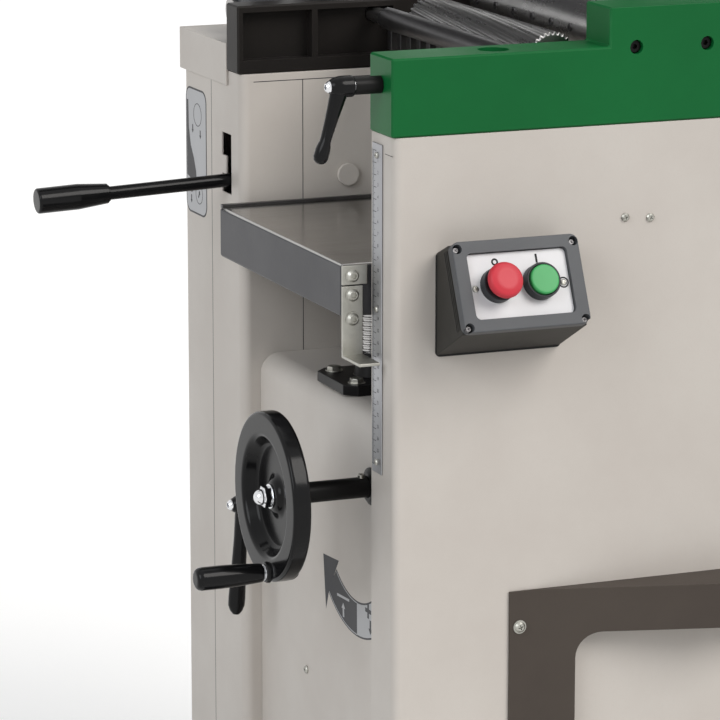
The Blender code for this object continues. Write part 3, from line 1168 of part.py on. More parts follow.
def make_switch_box(plastic, silver, red, green):
    """Switch box on the front wall: body, lid, plate with its bezels, and two buttons."""
    left = LEFT_X + BOX_LEFT
    middle_x = left + BOX_WIDTH / 2
    wall = FRONT_Y - SEAT_GAP
    top = WALL_TOP - BOX_TOP_DROP
    tilt = asin((BOX_BOTTOM_REACH - BOX_TOP_REACH) / BOX_FACE_HEIGHT)
    drop = BOX_FACE_HEIGHT * cos(tilt) - BOX_TOP_RISE
    outline = [(wall, top), (wall - BOX_TOP_REACH, top + BOX_TOP_RISE),
               (wall - BOX_BOTTOM_REACH, top - drop), (wall, top - BOX_WALL_HEIGHT)]
    inset = BOX_WALL
    far = 2 * BOX_BOTTOM_REACH
    climb = BOX_TOP_RISE / BOX_TOP_REACH
    rise = (BOX_WALL_HEIGHT - drop) / BOX_BOTTOM_REACH
    low = top - BOX_WALL_HEIGHT + inset
    hollow = [(wall - inset, top - inset + climb * inset), (wall - far, top - inset + climb * far),
              (wall - far, low + rise * far), (wall - inset, low + rise * inset)]
    body = flat(outline, BOX_WIDTH, SIDE_PLANE, (middle_x, 0, 0))
    room = flat(hollow, BOX_WIDTH - 2 * inset, SIDE_PLANE, (middle_x, 0, 0))
    keep(cut(body, room), "switch_box", plastic)
    face = Vector((middle_x, wall - (BOX_TOP_REACH + BOX_BOTTOM_REACH) / 2, top + (BOX_TOP_RISE - drop) / 2))
    tilted = axis_at("switch_face", face)
    half_w = BOX_WIDTH / 2 + LID_PROUD
    half_h = BOX_FACE_HEIGHT / 2 + LID_PROUD
    back = face.y - SEAT_GAP
    front = back - LID_THICK
    lid = flat(rounded_rectangle(-half_w, -half_h, half_w, half_h, LID_CORNER), LID_THICK, FRONT_PLANE,
               (face.x, (front + back) / 2, face.z))
    sunk = front + PLATE_SUNK
    plate_low = (face.x - PLATE_WIDTH / 2, sunk, face.z - PLATE_HEIGHT / 2)
    plate_high = (face.x + PLATE_WIDTH / 2, sunk + PLATE_THICK, face.z + PLATE_HEIGHT / 2)
    seat = block(Vector(plate_low) - Vector((SEAT_GAP, PLATE_SUNK + CUT_OVERRUN, SEAT_GAP)),
                 Vector(plate_high) + Vector((SEAT_GAP, SEAT_GAP, SEAT_GAP)))
    spots = [(face.x - BUTTON_SHIFT + side * BUTTON_PITCH / 2, face.z) for side in (-1, 1)]
    wells = [drum((x, front - CUT_OVERRUN, z), LID_THICK + 2 * CUT_OVERRUN,
                  BUTTON_BARREL_RADIUS + 2 * SEAT_GAP, ALONG_Y, ROUND_SIDES) for x, z in spots]
    keep(cut(lid, seat, *wells), "switch_lid", plastic)
    plate = block(plate_low, plate_high)
    rings = [drum((x, front - BEZEL_HEIGHT, z), BEZEL_HEIGHT + PLATE_SUNK + PLATE_THICK / 2,
                  BEZEL_RADIUS - SEAT_GAP, ALONG_Y, FINE_SIDES, end_radius=BEZEL_RADIUS) for x, z in spots]
    barrels = [drum((x, front, z), BUTTON_BARREL_LENGTH, BUTTON_BARREL_RADIUS, ALONG_Y, ROUND_SIDES)
               for x, z in spots]
    bores = [drum((x, front - 2 * CUT_OVERRUN, z), BUTTON_BARREL_LENGTH + 4 * CUT_OVERRUN,
                  BUTTON_STEM_RADIUS + RUN_GAP, ALONG_Y, ROUND_SIDES) for x, z in spots]
    pocket = drum((spots[1][0], front - BEZEL_HEIGHT - CUT_OVERRUN, spots[1][1]),
                  BEZEL_HEIGHT + CUT_OVERRUN, GREEN_RADIUS + RUN_GAP, ALONG_Y, FINE_SIDES)
    keep(cut(join(plate, *rings, *barrels), *bores, pocket), "switch_plate", silver)
    stem_end = BUTTON_BARREL_LENGTH - BUTTON_TRAVEL
    neck = -RED_PROUD + RED_HEAD
    brim = -RED_PROUD + RED_HEAD * RED_BRIM_SHARE
    profile = [(0, stem_end), (BUTTON_STEM_RADIUS, stem_end), (BUTTON_STEM_RADIUS, neck),
               (RED_RADIUS * RED_NECK_SHARE, neck), (RED_RADIUS, brim),
               (RED_RADIUS * RED_CROWN_SHARE, -RED_PROUD), (0, -RED_PROUD)]
    stop = keep(turned(profile, (spots[0][0], front, spots[0][1]), ALONG_Y, FINE_SIDES), "stop_button", red)
    profile = [(0, stem_end), (BUTTON_STEM_RADIUS, stem_end), (BUTTON_STEM_RADIUS, -GREEN_SKIRT),
               (GREEN_RADIUS, -GREEN_SKIRT), (GREEN_RADIUS, -GREEN_PROUD + WHEEL_EDGE / 2),
               (GREEN_RADIUS - WHEEL_EDGE / 2, -GREEN_PROUD), (0, -GREEN_PROUD)]
    start = turned(profile, (spots[1][0], front, spots[1][1]), ALONG_Y, FINE_SIDES)
    keep(start, "start_button", green)
    carry(tilted, lid, plate, stop, start)
    tilted.rotation_euler = (-tilt, 0, 0)


def make_lower_guard(brown):
    """Folded guard with a rounded window in each sloping face."""
    left = LEFT_X + GUARD_LEFT
    wall = FRONT_Y - SEAT_GAP
    bend = left + GUARD_FLANGE
    ridge = bend + GUARD_RUN
    right_bend = ridge + GUARD_RUN
    right = right_bend + GUARD_FLANGE
    low = GUARD_TOP - GUARD_HEIGHT
    middle = (GUARD_TOP + low) / 2
    slope = atan2(GUARD_RISE, GUARD_RUN)
    body = block((left, wall - SHEET, low), (right, wall, GUARD_TOP))
    wedge = flat([(bend, wall - SHEET / 2), (ridge, wall - SHEET - GUARD_RISE),
                  (right_bend, wall - SHEET / 2)], GUARD_HEIGHT, UPRIGHT, (0, 0, middle))
    step = SHEET / cos(slope)
    foot = wall - SHEET * sin(slope) / 2
    room_outline = [(bend + step, wall + CUT_OVERRUN), (bend + step, foot),
                    (ridge, wall - GUARD_RISE + step - SHEET), (right_bend - step, foot),
                    (right_bend - step, wall + CUT_OVERRUN)]
    room = flat(room_outline, GUARD_HEIGHT - 2 * SHEET, UPRIGHT, (0, 0, middle))
    window = flat(rounded_rectangle(bend + GUARD_WINDOW_SIDE, low + GUARD_TOP_BAND,
                                    right_bend - GUARD_WINDOW_SIDE, GUARD_TOP - GUARD_TOP_BAND,
                                    GUARD_WINDOW_CORNER),
                  2 * GUARD_RISE, FRONT_PLANE, (0, wall - GUARD_RISE - CUT_OVERRUN, 0))
    keep(cut(join(body, wedge), room, window), "lower_guard", brown)


def hinge_arm(name, x, dark):
    """Arm from a surface table's rear edge to the hinge shaft."""
    rear = WALL_Y + SURFACE_REAR + SEAT_GAP
    top = SURFACE_HEIGHT - SEAT_GAP
    low = WALL_TOP + BEAM_SHOULDER + 2 * SHEET
    knee = rear + ARM_HEAD
    boss = arc((HINGE_Y, HINGE_Z), ARM_BOSS, -120, 70, 2 * CORNER_STEPS)
    outline = [(rear, top), (rear, low), (knee + ARM_DEPTH, low)] + boss + [(knee, top)]
    arm = flat(outline, ARM_THICK, SIDE_PLANE, (x, 0, 0))
    bore = drum((x - ARM_THICK, HINGE_Y, HINGE_Z), 2 * ARM_THICK, HINGE_RADIUS + SEAT_GAP, ALONG_X)
    return keep(cut(arm, bore), name, dark)


def make_hinge(dark, steel):
    """Brackets on the rear beam and the shaft that turns in them with the tables."""
    front = REAR_Y + REAR_BEAM_OFFSET + REAR_BEAM_DEPTH + SEAT_GAP
    low = CAP_TOP + SEAT_GAP
    top = WALL_TOP + BEAM_SHOULDER
    for name, side in (("hinge_bracket_left", -1), ("hinge_bracket_right", 1)):
        x = side * BRACKET_PITCH / 2
        boss = arc((HINGE_Y, HINGE_Z), ARM_BOSS, -90, 90, 2 * CORNER_STEPS)
        outline = [(front, top), (front, low)] + boss
        cheek = flat(outline, BRACKET_THICK, SIDE_PLANE, (x, 0, 0))
        foot = block((x - BRACKET_THICK, front, low), (x + BRACKET_THICK, front + BRACKET_FOOT, top))
        bore = drum((x - BRACKET_THICK, HINGE_Y, HINGE_Z), 2 * BRACKET_THICK, HINGE_RADIUS + RUN_GAP,
                    ALONG_X)
        keep(cut(join(cheek, foot), bore), name, dark)
    shaft = drum((-HINGE_LENGTH / 2, HINGE_Y, HINGE_Z), HINGE_LENGTH, HINGE_RADIUS, ALONG_X)
    return keep(shaft, "hinge_shaft", steel)


def surface_table(name, side, thick, grey):
    """Ribbed surface table on one side of the cutterblock, with its lip, notch and stud."""
    lip = side * THROAT / 2
    end = lip + side * SURFACE_LENGTH
    front = WALL_Y - SURFACE_OVERHANG
    rear = WALL_Y + SURFACE_REAR
    bottom = SURFACE_HEIGHT - thick
    left, right = sorted((lip, end))
    table = ease(block((left, front, bottom), (right, rear, SURFACE_HEIGHT)), TABLE_EDGE)
    under = bottom - CUT_OVERRUN
    roof = SURFACE_HEIGHT - SURFACE_PLATE
    ends = sorted((lip - side * CUT_OVERRUN, side * NOTCH_LENGTH))
    notch = block((ends[0], front - CUT_OVERRUN, under),
                  (ends[1], front + NOTCH_DEPTH, SURFACE_HEIGHT + CUT_OVERRUN))
    reach = drum((0, front - CUT_OVERRUN, CUTTER_Z), rear - front + 2 * CUT_OVERRUN,
                 CUTTER_RADIUS + KNIFE_STANDOUT + LIP_CLEARANCE, ALONG_Y, 2 * FINE_SIDES)
    far = abs(end) - SURFACE_RIM
    pitch = (far - LIP_RIB + SURFACE_RIB) / SURFACE_BAYS
    bays = []
    for number in range(SURFACE_BAYS):
        start = LIP_RIB + number * pitch
        low_x, high_x = sorted((side * start, side * (start + pitch - SURFACE_RIB)))
        low_y = front + NOTCH_DEPTH + SURFACE_RIM
        bays.append(block((low_x, low_y, under), (high_x, rear - SURFACE_RIM, roof)))
    stud = drum((side * (RIGHT_X - STUD_INSET), CLAMP_Y, bottom - STUD_LENGTH), STUD_LENGTH + SURFACE_PLATE,
                STUD_RADIUS, UPRIGHT)
    extras = guard_post() if side < 0 else ()
    return keep(join(cut(table, notch, reach, *bays), stud, *extras), name, grey)


def make_fence(grey, dark, steel):
    """Fence bracket on the outfeed table, and the carriage and fence that it guides."""
    rear = WALL_Y + SURFACE_REAR + SEAT_GAP
    bar_x = LEFT_X + FENCE_BAR_X
    neck_x = LEFT_X + FENCE_NECK_LEFT + FENCE_NECK / 2
    guide_y = WALL_Y + FENCE_GUIDE_START
    guide_end = guide_y + FENCE_GUIDE_LENGTH
    guide_low = FENCE_BAR_Z - FENCE_BAR_RADIUS - FENCE_GUIDE_WALL
    guide_top = FENCE_BAR_Z + FENCE_BAR_RADIUS + FENCE_GUIDE_WALL
    foot_low = WALL_TOP + BEAM_SHOULDER + 2 * SHEET
    foot_top = SURFACE_HEIGHT + FENCE_NECK_DEPTH / 2
    knee = rear + ARM_HEAD
    outline = [(rear, foot_low), (knee + FENCE_NECK_DEPTH, foot_low), (guide_end, guide_low),
               (guide_end, guide_top), (guide_y, guide_top), (guide_y, guide_low + FENCE_NECK_DEPTH),
               (knee, foot_top), (rear, foot_top)]
    neck = flat(outline, FENCE_NECK, SIDE_PLANE, (neck_x, 0, 0))
    guide_right = bar_x + FENCE_BAR_RADIUS + FENCE_GUIDE_WALL
    guide = block((neck_x, guide_y, guide_low), (guide_right, guide_end, guide_top))
    bore = drum((bar_x, guide_y - CUT_OVERRUN, FENCE_BAR_Z), FENCE_GUIDE_LENGTH + 2 * CUT_OVERRUN,
                FENCE_BAR_RADIUS + SEAT_GAP, ALONG_Y)
    bracket = keep(cut(join(neck, guide), bore), "fence_bracket", dark)
    fence_low = SURFACE_HEIGHT + FENCE_LIFT
    face = WALL_Y + FENCE_FACE
    back = face + FENCE_THICK
    pivot = Vector((bar_x, back, SURFACE_HEIGHT + FENCE_PIVOT_RISE))
    left = LEFT_X - FENCE_OVERHANG
    board = block((left, face, fence_low), (left + FENCE_LENGTH, back, fence_low + FENCE_HEIGHT))
    fence = ease(board, BEAM_EDGE)
    slot_low = fence_low + FENCE_HEIGHT - 2 * FENCE_SLOT_HEIGHT
    groove = block((left - CUT_OVERRUN, back - FENCE_SLOT_DEPTH, slot_low),
                   (left + FENCE_LENGTH + CUT_OVERRUN, back + CUT_OVERRUN, slot_low + FENCE_SLOT_HEIGHT))
    lug_half = CARRIAGE_NECK / 2
    lugs = [drum((bar_x + offset, back + FENCE_PIVOT_RADIUS, pivot.z), FENCE_PIVOT_RADIUS,
                 FENCE_PIVOT_RADIUS, ALONG_X, SMALL_SIDES)
            for offset in (-lug_half - SEAT_GAP - FENCE_PIVOT_RADIUS, lug_half + SEAT_GAP)]
    tongue = FENCE_PIVOT_RADIUS * TONGUE_SHARE
    tongues = [block((lug.location.x, back - FENCE_SLOT_DEPTH, pivot.z - tongue),
                     (lug.location.x + FENCE_PIVOT_RADIUS, back + FENCE_PIVOT_RADIUS, pivot.z + tongue))
               for lug in lugs]
    keep(join(cut(fence, groove), *lugs, *tongues), "fence", grey)
    bar_start = WALL_Y + FENCE_BAR_START
    bar_end = WALL_Y + FENCE_BAR_END
    slide = drum((bar_x, bar_start, FENCE_BAR_Z), bar_end - bar_start, FENCE_BAR_RADIUS, ALONG_Y)
    root = back + SEAT_GAP + RUN_GAP
    outline = [(root, SURFACE_HEIGHT + FENCE_LIFT), (root + CARRIAGE_ROOT, SURFACE_HEIGHT + FENCE_LIFT),
               (bar_start + FENCE_BAR_RADIUS, FENCE_BAR_Z - FENCE_BAR_RADIUS),
               (bar_start + FENCE_BAR_RADIUS, FENCE_BAR_Z + FENCE_BAR_RADIUS / 2),
               (bar_start, FENCE_BAR_Z + FENCE_BAR_RADIUS / 2), (root, SURFACE_HEIGHT + FENCE_PIVOT_RISE)]
    gooseneck = flat(outline, CARRIAGE_NECK, SIDE_PLANE, (bar_x, 0, 0))
    carriage = keep(join(slide, gooseneck), "fence_carriage", steel)
    slide_axis = axis_at("fence_slide", pivot)
    tilt_axis = axis_at("fence_tilt", (pivot.x, back + FENCE_PIVOT_RADIUS, pivot.z))
    carry(slide_axis, carriage)
    carry(tilt_axis, fence)
    return [bracket], [slide_axis, tilt_axis]


def guard_post():
    """Lug and pin on the outfeed table's front edge, for the bridge guard."""
    post_x = LEFT_X + POST_X
    front = WALL_Y - SURFACE_OVERHANG
    top = SURFACE_HEIGHT + POST_RISE
    post = block((post_x - POST_WIDTH / 2, front - POST_DEPTH, SURFACE_HEIGHT - SURFACE_THICK + TABLE_EDGE),
                 (post_x + POST_WIDTH / 2, front + TABLE_EDGE, top))
    pin = drum((post_x, front - POST_DEPTH / 2, SURFACE_HEIGHT), POST_RISE + 2 * BRIDGE_ARM_THICK,
               GUARD_PIN_RADIUS, UPRIGHT, SMALL_SIDES)
    return post, pin


def make_bridge_guard(silver):
    """Swinging guard over the cutterblock, on the outfeed table's pin."""
    post_x = LEFT_X + POST_X
    pin_y = WALL_Y - SURFACE_OVERHANG - POST_DEPTH / 2
    low = SURFACE_HEIGHT + BRIDGE_LIFT
    half = BRIDGE_BLADE_WIDTH / 2
    blade_end = WALL_Y + BRIDGE_BLADE_END
    arm_half = POST_DEPTH / 2
    outline = ([(half, pin_y - arm_half), (half, blade_end), (-half, blade_end), (-half, pin_y + arm_half)]
               + arc((post_x, pin_y), arm_half, 90, 270))
    blade = flat(outline, BRIDGE_ARM_THICK, UPRIGHT, (0, 0, low + BRIDGE_ARM_THICK / 2))
    flat_top = half * CROWN_SHARE
    crown = flat([(-half, 0), (half, 0), (flat_top, BRIDGE_CROWN), (-flat_top, BRIDGE_CROWN)],
                 blade_end - WALL_Y, FRONT_PLANE,
                 (0, (WALL_Y + blade_end) / 2, low + BRIDGE_ARM_THICK - SEAT_GAP))
    bore = drum((post_x, pin_y, low - CUT_OVERRUN), BRIDGE_ARM_THICK + 2 * CUT_OVERRUN,
                GUARD_PIN_RADIUS + RUN_GAP, UPRIGHT, SMALL_SIDES)
    guard = keep(cut(join(blade, crown), bore), "bridge_guard", silver)
    axis = axis_at("guard_swing", (post_x, pin_y, low))
    carry(axis, guard)
    return axis


def make_surface_group(grey, dark, steel, silver):
    """Both surface tables with all they carry, swung up about the hinge shaft."""
    swing = axis_at("table_swing", (0, HINGE_Y, HINGE_Z))
    pieces = [make_hinge(dark, steel),
              hinge_arm("hinge_arm_left", -ARM_PITCH / 2, dark),
              hinge_arm("hinge_arm_right", ARM_PITCH / 2, dark),
              surface_table("outfeed_table", -1, SURFACE_THICK, grey)]
    infeed = surface_table("infeed_table", 1, SURFACE_THICK - INFEED_DROP - SEAT_GAP, grey)
    depth_axis = axis_at("infeed_depth", (RIGHT_X, HINGE_Y, SURFACE_HEIGHT))
    carry(depth_axis, infeed)
    fence_pieces, fence_axes = make_fence(grey, dark, steel)
    carry(swing, *pieces, *fence_pieces)
    for axis in [depth_axis, *fence_axes, make_bridge_guard(silver)]:
        axis.parent = swing
        axis.matrix_parent_inverse = Matrix.Translation(-swing.location)
    swing.rotation_euler = (-pi / 2, 0, 0)


def make_scale(silver):
    """Thickness scale on the end face of the front wall."""
    outer = LEFT_X - SEAT_GAP
    top = WALL_TOP - SCALE_DROP
    back = WALL_Y - SCALE_INSET
    keep(block((outer - SCALE_THICK, back - SCALE_WIDTH, top - SCALE_HEIGHT), (outer, back, top)),
         "thickness_scale", silver)


def main():
    """Build every piece."""
    cream = paint("cream_sheet", CREAM_SHEET)
    green = paint("green_paint", GREEN_PAINT)
    black = paint("black_cast", BLACK_CAST)
    gloss = paint("black_gloss", BLACK_GLOSS)
    dark = paint("dark_grey_paint", DARK_PAINT)
    grey = paint("machined_iron", MACHINED_IRON)
    steel = paint("bright_steel", BRIGHT_STEEL)
    chrome = paint("chrome", CHROME)
    brown = paint("brown_black_powder", BROWN_POWDER)
    plastic = paint("grey_plastic", GREY_PLASTIC)
    silver = paint("satin_aluminium", SATIN_ALUMINIUM)
    red = paint("red_button", RED_BUTTON)
    green_plastic = paint("green_button", GREEN_BUTTON)
    rubber = paint("rubber", RUBBER)
    bronze = paint("bronze", BRONZE)
    make_base(dark)
    make_front_wall(cream)
    make_cabinet(cream)
    make_upright(cream)
    make_rear_cover(cream)
    make_cap(cream)
    make_front_beam(green)
    make_rear_beam(black)
    bearing("front_bearing", WALL_Y - BEAM_SETBACK - BEARING_WIDTH, steel)
    bearing("rear_bearing", REAR_Y + REAR_BEAM_OFFSET, steel)
    make_cutterblock(steel)
    make_drive(dark, silver, rubber)
    make_rollers(steel, dark)
    make_thickness_table(grey, steel)
    make_lift_drive(black, steel, bronze, dark)
    make_handwheel(black, chrome, gloss)
    clamping_lever("clamp_lever_left", LEFT_X - BEAM_PROUD, CLAMP_Y, WALL_TOP + CLAMP_RISE, -1,
                   CLAMP_ARM_LENGTH, CLAMP_ARM_SPLAY, gloss)
    clamping_lever("clamp_lever_right", RIGHT_X + BEAM_PROUD, CLAMP_Y, WALL_TOP + CLAMP_RISE, 1,
                   CLAMP_ARM_LENGTH, CLAMP_ARM_SPLAY, gloss)
    clamping_lever("table_lock_lever", LEFT_X + CABINET_INSET, LOCK_Y, LOCK_Z, -1,
                   LOCK_ARM_LENGTH, LOCK_ARM_SPLAY, gloss)
    make_feed_lever(gloss, steel)
    make_switch_box(plastic, silver, red, green_plastic)
    make_lower_guard(brown)
    make_scale(silver)
    make_surface_group(grey, dark, steel, silver)


main()
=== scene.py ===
"""Looks of a planer thicknesser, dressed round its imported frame.

Metres, +Z up, in the frame's own place: X runs along the feed with the handwheel at the -X end, and the
operator stands at -Y. Each sub-assembly is a class with its sizes as fields. It shapes its pieces with bmesh
operators, dresses them in the finishes of Finish, and hangs them on the frame's bodies.
"""

import json
import logging
from collections.abc import Callable, Iterable, Sequence
from dataclasses import dataclass
from enum import Enum
from math import atan2, cos, degrees, pi, radians, sin, sqrt

import bmesh
import bpy
from mathutils import Matrix, Vector


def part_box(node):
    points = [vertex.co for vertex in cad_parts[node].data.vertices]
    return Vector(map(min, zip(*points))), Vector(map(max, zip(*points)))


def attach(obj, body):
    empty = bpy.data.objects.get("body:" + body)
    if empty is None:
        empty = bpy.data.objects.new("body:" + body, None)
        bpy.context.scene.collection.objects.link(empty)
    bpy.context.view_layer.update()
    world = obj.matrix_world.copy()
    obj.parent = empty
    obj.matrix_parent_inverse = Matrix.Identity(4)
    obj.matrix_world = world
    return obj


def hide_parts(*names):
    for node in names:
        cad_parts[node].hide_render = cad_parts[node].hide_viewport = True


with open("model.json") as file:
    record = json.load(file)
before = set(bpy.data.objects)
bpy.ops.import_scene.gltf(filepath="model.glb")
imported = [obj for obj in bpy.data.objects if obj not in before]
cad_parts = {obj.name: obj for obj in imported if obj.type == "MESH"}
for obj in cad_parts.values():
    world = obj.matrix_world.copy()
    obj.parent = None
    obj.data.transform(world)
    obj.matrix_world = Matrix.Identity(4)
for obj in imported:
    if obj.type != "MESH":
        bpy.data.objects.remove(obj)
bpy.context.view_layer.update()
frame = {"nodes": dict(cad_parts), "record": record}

LOG = logging.getLogger("planer_thicknesser")

Colour = tuple[float, float, float, float]
Outline = Callable[[float], float]
Profile = Sequence[tuple[float, float]]
Socket = bpy.types.NodeSocket

MERGE = 0.00001
FLAT = radians(0.5)
CREASE = radians(35)
ROUND_STEPS = 96
SMALL_STEPS = 40
SCREW_STEPS = 24
FULL_TURN = 2 * pi
EVEN_PROFILE = 0.5
KEEP_MATERIAL = -1
FINER = 3.7

BEHAVIOUR = frame["record"]["behaviour"]
BODY_OF = {node: body for body, nodes in BEHAVIOUR["bodies"].items() for node in nodes}

# Bodies of the frame
MACHINE = "machine"
TABLE_BODY = "thickness_table"
WHEEL_BODY = "handwheel"
TABLES_BODY = "surface_tables"


def tone(red: int, green: int, blue: int) -> Colour:
    """A colour in Blender's linear values.

    Args:
        red: Red as the eye reads it, 0 to 255.
        green: Green, 0 to 255.
        blue: Blue, 0 to 255.

    Returns:
        Linear red, green and blue with a full alpha.
    """
    linear = [((part / 255 + 0.055) / 1.055) ** 2.4 for part in (red, green, blue)]
    return (linear[0], linear[1], linear[2], 1.0)


class Tree:
    """A node tree with short ways to add nodes and join them."""

    def __init__(self, tree: bpy.types.NodeTree) -> None:
        """Take a tree to work on."""
        self.tree = tree

    def add(self, kind: str, inputs: dict | None = None, **settings: object) -> bpy.types.Node:
        """Add a node.

        Args:
            kind: The node's type name.
            inputs: Values or sockets for the node's inputs, by name or place.
            settings: The node's own settings.

        Returns:
            The new node.
        """
        node = self.tree.nodes.new(kind)
        for name, value in settings.items():
            setattr(node, name, value)
        for name, value in (inputs or {}).items():
            if isinstance(value, Socket):
                self.tree.links.new(value, node.inputs[name])
            else:
                node.inputs[name].default_value = value
        return node

    def object_place(self) -> Socket:
        """The surface point in the object's own coordinates."""
        return self.add("ShaderNodeTexCoord").outputs["Object"]

    def blend(self, share: Socket | float, first: Socket | Colour, second: Socket | Colour) -> Socket:
        """Mix two colours.

        Args:
            share: How much of the second shows.
            first: The colour at share zero.
            second: The colour at share one.

        Returns:
            The mixed colour.
        """
        node = self.add("ShaderNodeMix", {0: share, 6: first, 7: second}, data_type="RGBA")
        return node.outputs[2]

    def maths(self, operation: str, first: Socket | float, second: Socket | float) -> Socket:
        """A sum on two values."""
        return self.add("ShaderNodeMath", {0: first, 1: second}, operation=operation).outputs[0]

    def remap(self, value: Socket, low: float, high: float, to_low: Socket | float,
              to_high: Socket | float) -> Socket:
        """Stretch a value from one range to another, held at its ends."""
        inputs = {"Value": value, "From Min": low, "From Max": high, "To Min": to_low, "To Max": to_high}
        return self.add("ShaderNodeMapRange", inputs).outputs[0]


class Group(Tree):
    """A shader node group with named inputs and outputs."""

    def __init__(self, name: str, inputs: dict[str, float | Colour | tuple],
                 outputs: dict[str, str]) -> None:
        """Make the group's sockets.

        Args:
            name: The group's name.
            inputs: Each input's default value, by name.
            outputs: Each output's kind of socket, by name.
        """
        super().__init__(bpy.data.node_groups.new(name, "ShaderNodeTree"))
        for label, value in inputs.items():
            kind = "Float" if isinstance(value, float) else ("Color" if len(value) == 4 else "Vector")
            slot = self.tree.interface.new_socket(label, in_out="INPUT", socket_type="NodeSocket" + kind)
            slot.default_value = value
        for label, kind in outputs.items():
            self.tree.interface.new_socket(label, in_out="OUTPUT", socket_type="NodeSocket" + kind)
        self.inlet = self.tree.nodes.new("NodeGroupInput").outputs
        self.outlet = self.tree.nodes.new("NodeGroupOutput").inputs

    def give(self, name: str, value: Socket) -> None:
        """Join a socket to one of the group's outputs."""
        self.tree.links.new(value, self.outlet[name])


def clouds_group() -> bpy.types.NodeTree:
    """Slow drift of a colour and of a roughness, as paint and metal have over a hand's width."""
    group = Group("clouds", {"Colour": (1.0,) * 4, "Drift": (1.0,) * 4, "Scale": 9.0, "Amount": 0.5},
                  {"Colour": "Color", "Mask": "Float"})
    noise = group.add("ShaderNodeTexNoise", {"Vector": group.object_place(), "Scale": group.inlet["Scale"],
                                             "Detail": 5.0, "Roughness": 0.6}).outputs[0]
    mask = group.remap(noise, 0.35, 0.65, 0.0, group.inlet["Amount"])
    group.give("Colour", group.blend(mask, group.inlet["Colour"], group.inlet["Drift"]))
    group.give("Mask", mask)
    return group.tree


def speckle_group() -> bpy.types.NodeTree:
    """Fine specks of another tone, as a powder coat or cast paint shows close up."""
    group = Group("speckle", {"Colour": (1.0,) * 4, "Speck": (0.5,) * 4, "Scale": 900.0, "Amount": 0.2},
                  {"Colour": "Color"})
    noise = group.add("ShaderNodeTexNoise", {"Vector": group.object_place(), "Scale": group.inlet["Scale"],
                                             "Detail": 2.0}).outputs[0]
    mask = group.remap(noise, 0.58, 0.68, 0.0, group.inlet["Amount"])
    group.give("Colour", group.blend(mask, group.inlet["Colour"], group.inlet["Speck"]))
    return group.tree


def skin_group() -> bpy.types.NodeTree:
    """Height of a sprayed or moulded skin: soft swells with a finer grain on them."""
    group = Group("skin", {"Scale": 500.0, "Grain": 0.3}, {"Height": "Float"})
    place = group.object_place()
    swell = group.add("ShaderNodeTexNoise", {"Vector": place, "Scale": group.inlet["Scale"],
                                             "Detail": 1.0}).outputs[0]
    finer = group.maths("MULTIPLY", group.inlet["Scale"], FINER)
    fine = group.add("ShaderNodeTexNoise", {"Vector": place, "Detail": 2.0, "Scale": finer}).outputs[0]
    group.give("Height", group.maths("ADD", swell, group.maths("MULTIPLY", fine, group.inlet["Grain"])))
    return group.tree


def lines_group() -> bpy.types.NodeTree:
    """Fine parallel lines left by planing, grinding or brushing, long along one axis."""
    group = Group("lines", {"Stretch": (30.0, 1200.0, 1200.0), "Wave": 0.5},
                  {"Mask": "Float", "Height": "Float"})
    place = group.object_place()
    laid = group.add("ShaderNodeMapping", {"Vector": place, "Scale": group.inlet["Stretch"]}).outputs[0]
    fine = group.add("ShaderNodeTexNoise", {"Vector": laid, "Scale": 1.0, "Detail": 4.0,
                                            "Roughness": 0.7}).outputs[0]
    broad = group.add("ShaderNodeTexNoise", {"Vector": laid, "Scale": 0.11, "Detail": 2.0}).outputs[0]
    group.give("Mask", group.remap(broad, 0.3, 0.7, 0.0, 1.0))
    group.give("Height", group.maths("ADD", fine, group.maths("MULTIPLY", broad, group.inlet["Wave"])))
    return group.tree


def edge_highlight_group() -> bpy.types.NodeTree:
    """Painted highlight along edges: the surface's own normal is set against one rounded over a small
    radius, and where the two part the colour turns lighter, in patches, on outer and inner edges alike.
    """
    group = Group("edge_highlight", {"Colour": (1.0,) * 4, "Highlight": (1.0,) * 4, "Radius": 0.001, "Amount": 0.3},
                  {"Colour": "Color", "Mask": "Float"})
    rounded = group.add("ShaderNodeBevel", {"Radius": group.inlet["Radius"]}, samples=4).outputs[0]
    facing = group.add("ShaderNodeNewGeometry").outputs["Normal"]
    match = group.add("ShaderNodeVectorMath", {0: rounded, 1: facing},
                      operation="DOT_PRODUCT").outputs["Value"]
    edge = group.remap(match, 0.99, 0.85, 0.0, 1.0)
    patch = group.add("ShaderNodeTexNoise", {"Vector": group.object_place(), "Scale": 60.0,
                                             "Detail": 4.0}).outputs[0]
    painted_highlight = group.maths("MULTIPLY", edge, group.remap(patch, 0.4, 0.6, 0.15, 1.0))
    mask = group.maths("MULTIPLY", painted_highlight, group.inlet["Amount"])
    group.give("Colour", group.blend(mask, group.inlet["Colour"], group.inlet["Highlight"]))
    group.give("Mask", mask)
    return group.tree


GROUPS = {"clouds": clouds_group(), "speckle": speckle_group(), "skin": skin_group(),
          "lines": lines_group(), "edge_highlight": edge_highlight_group()}


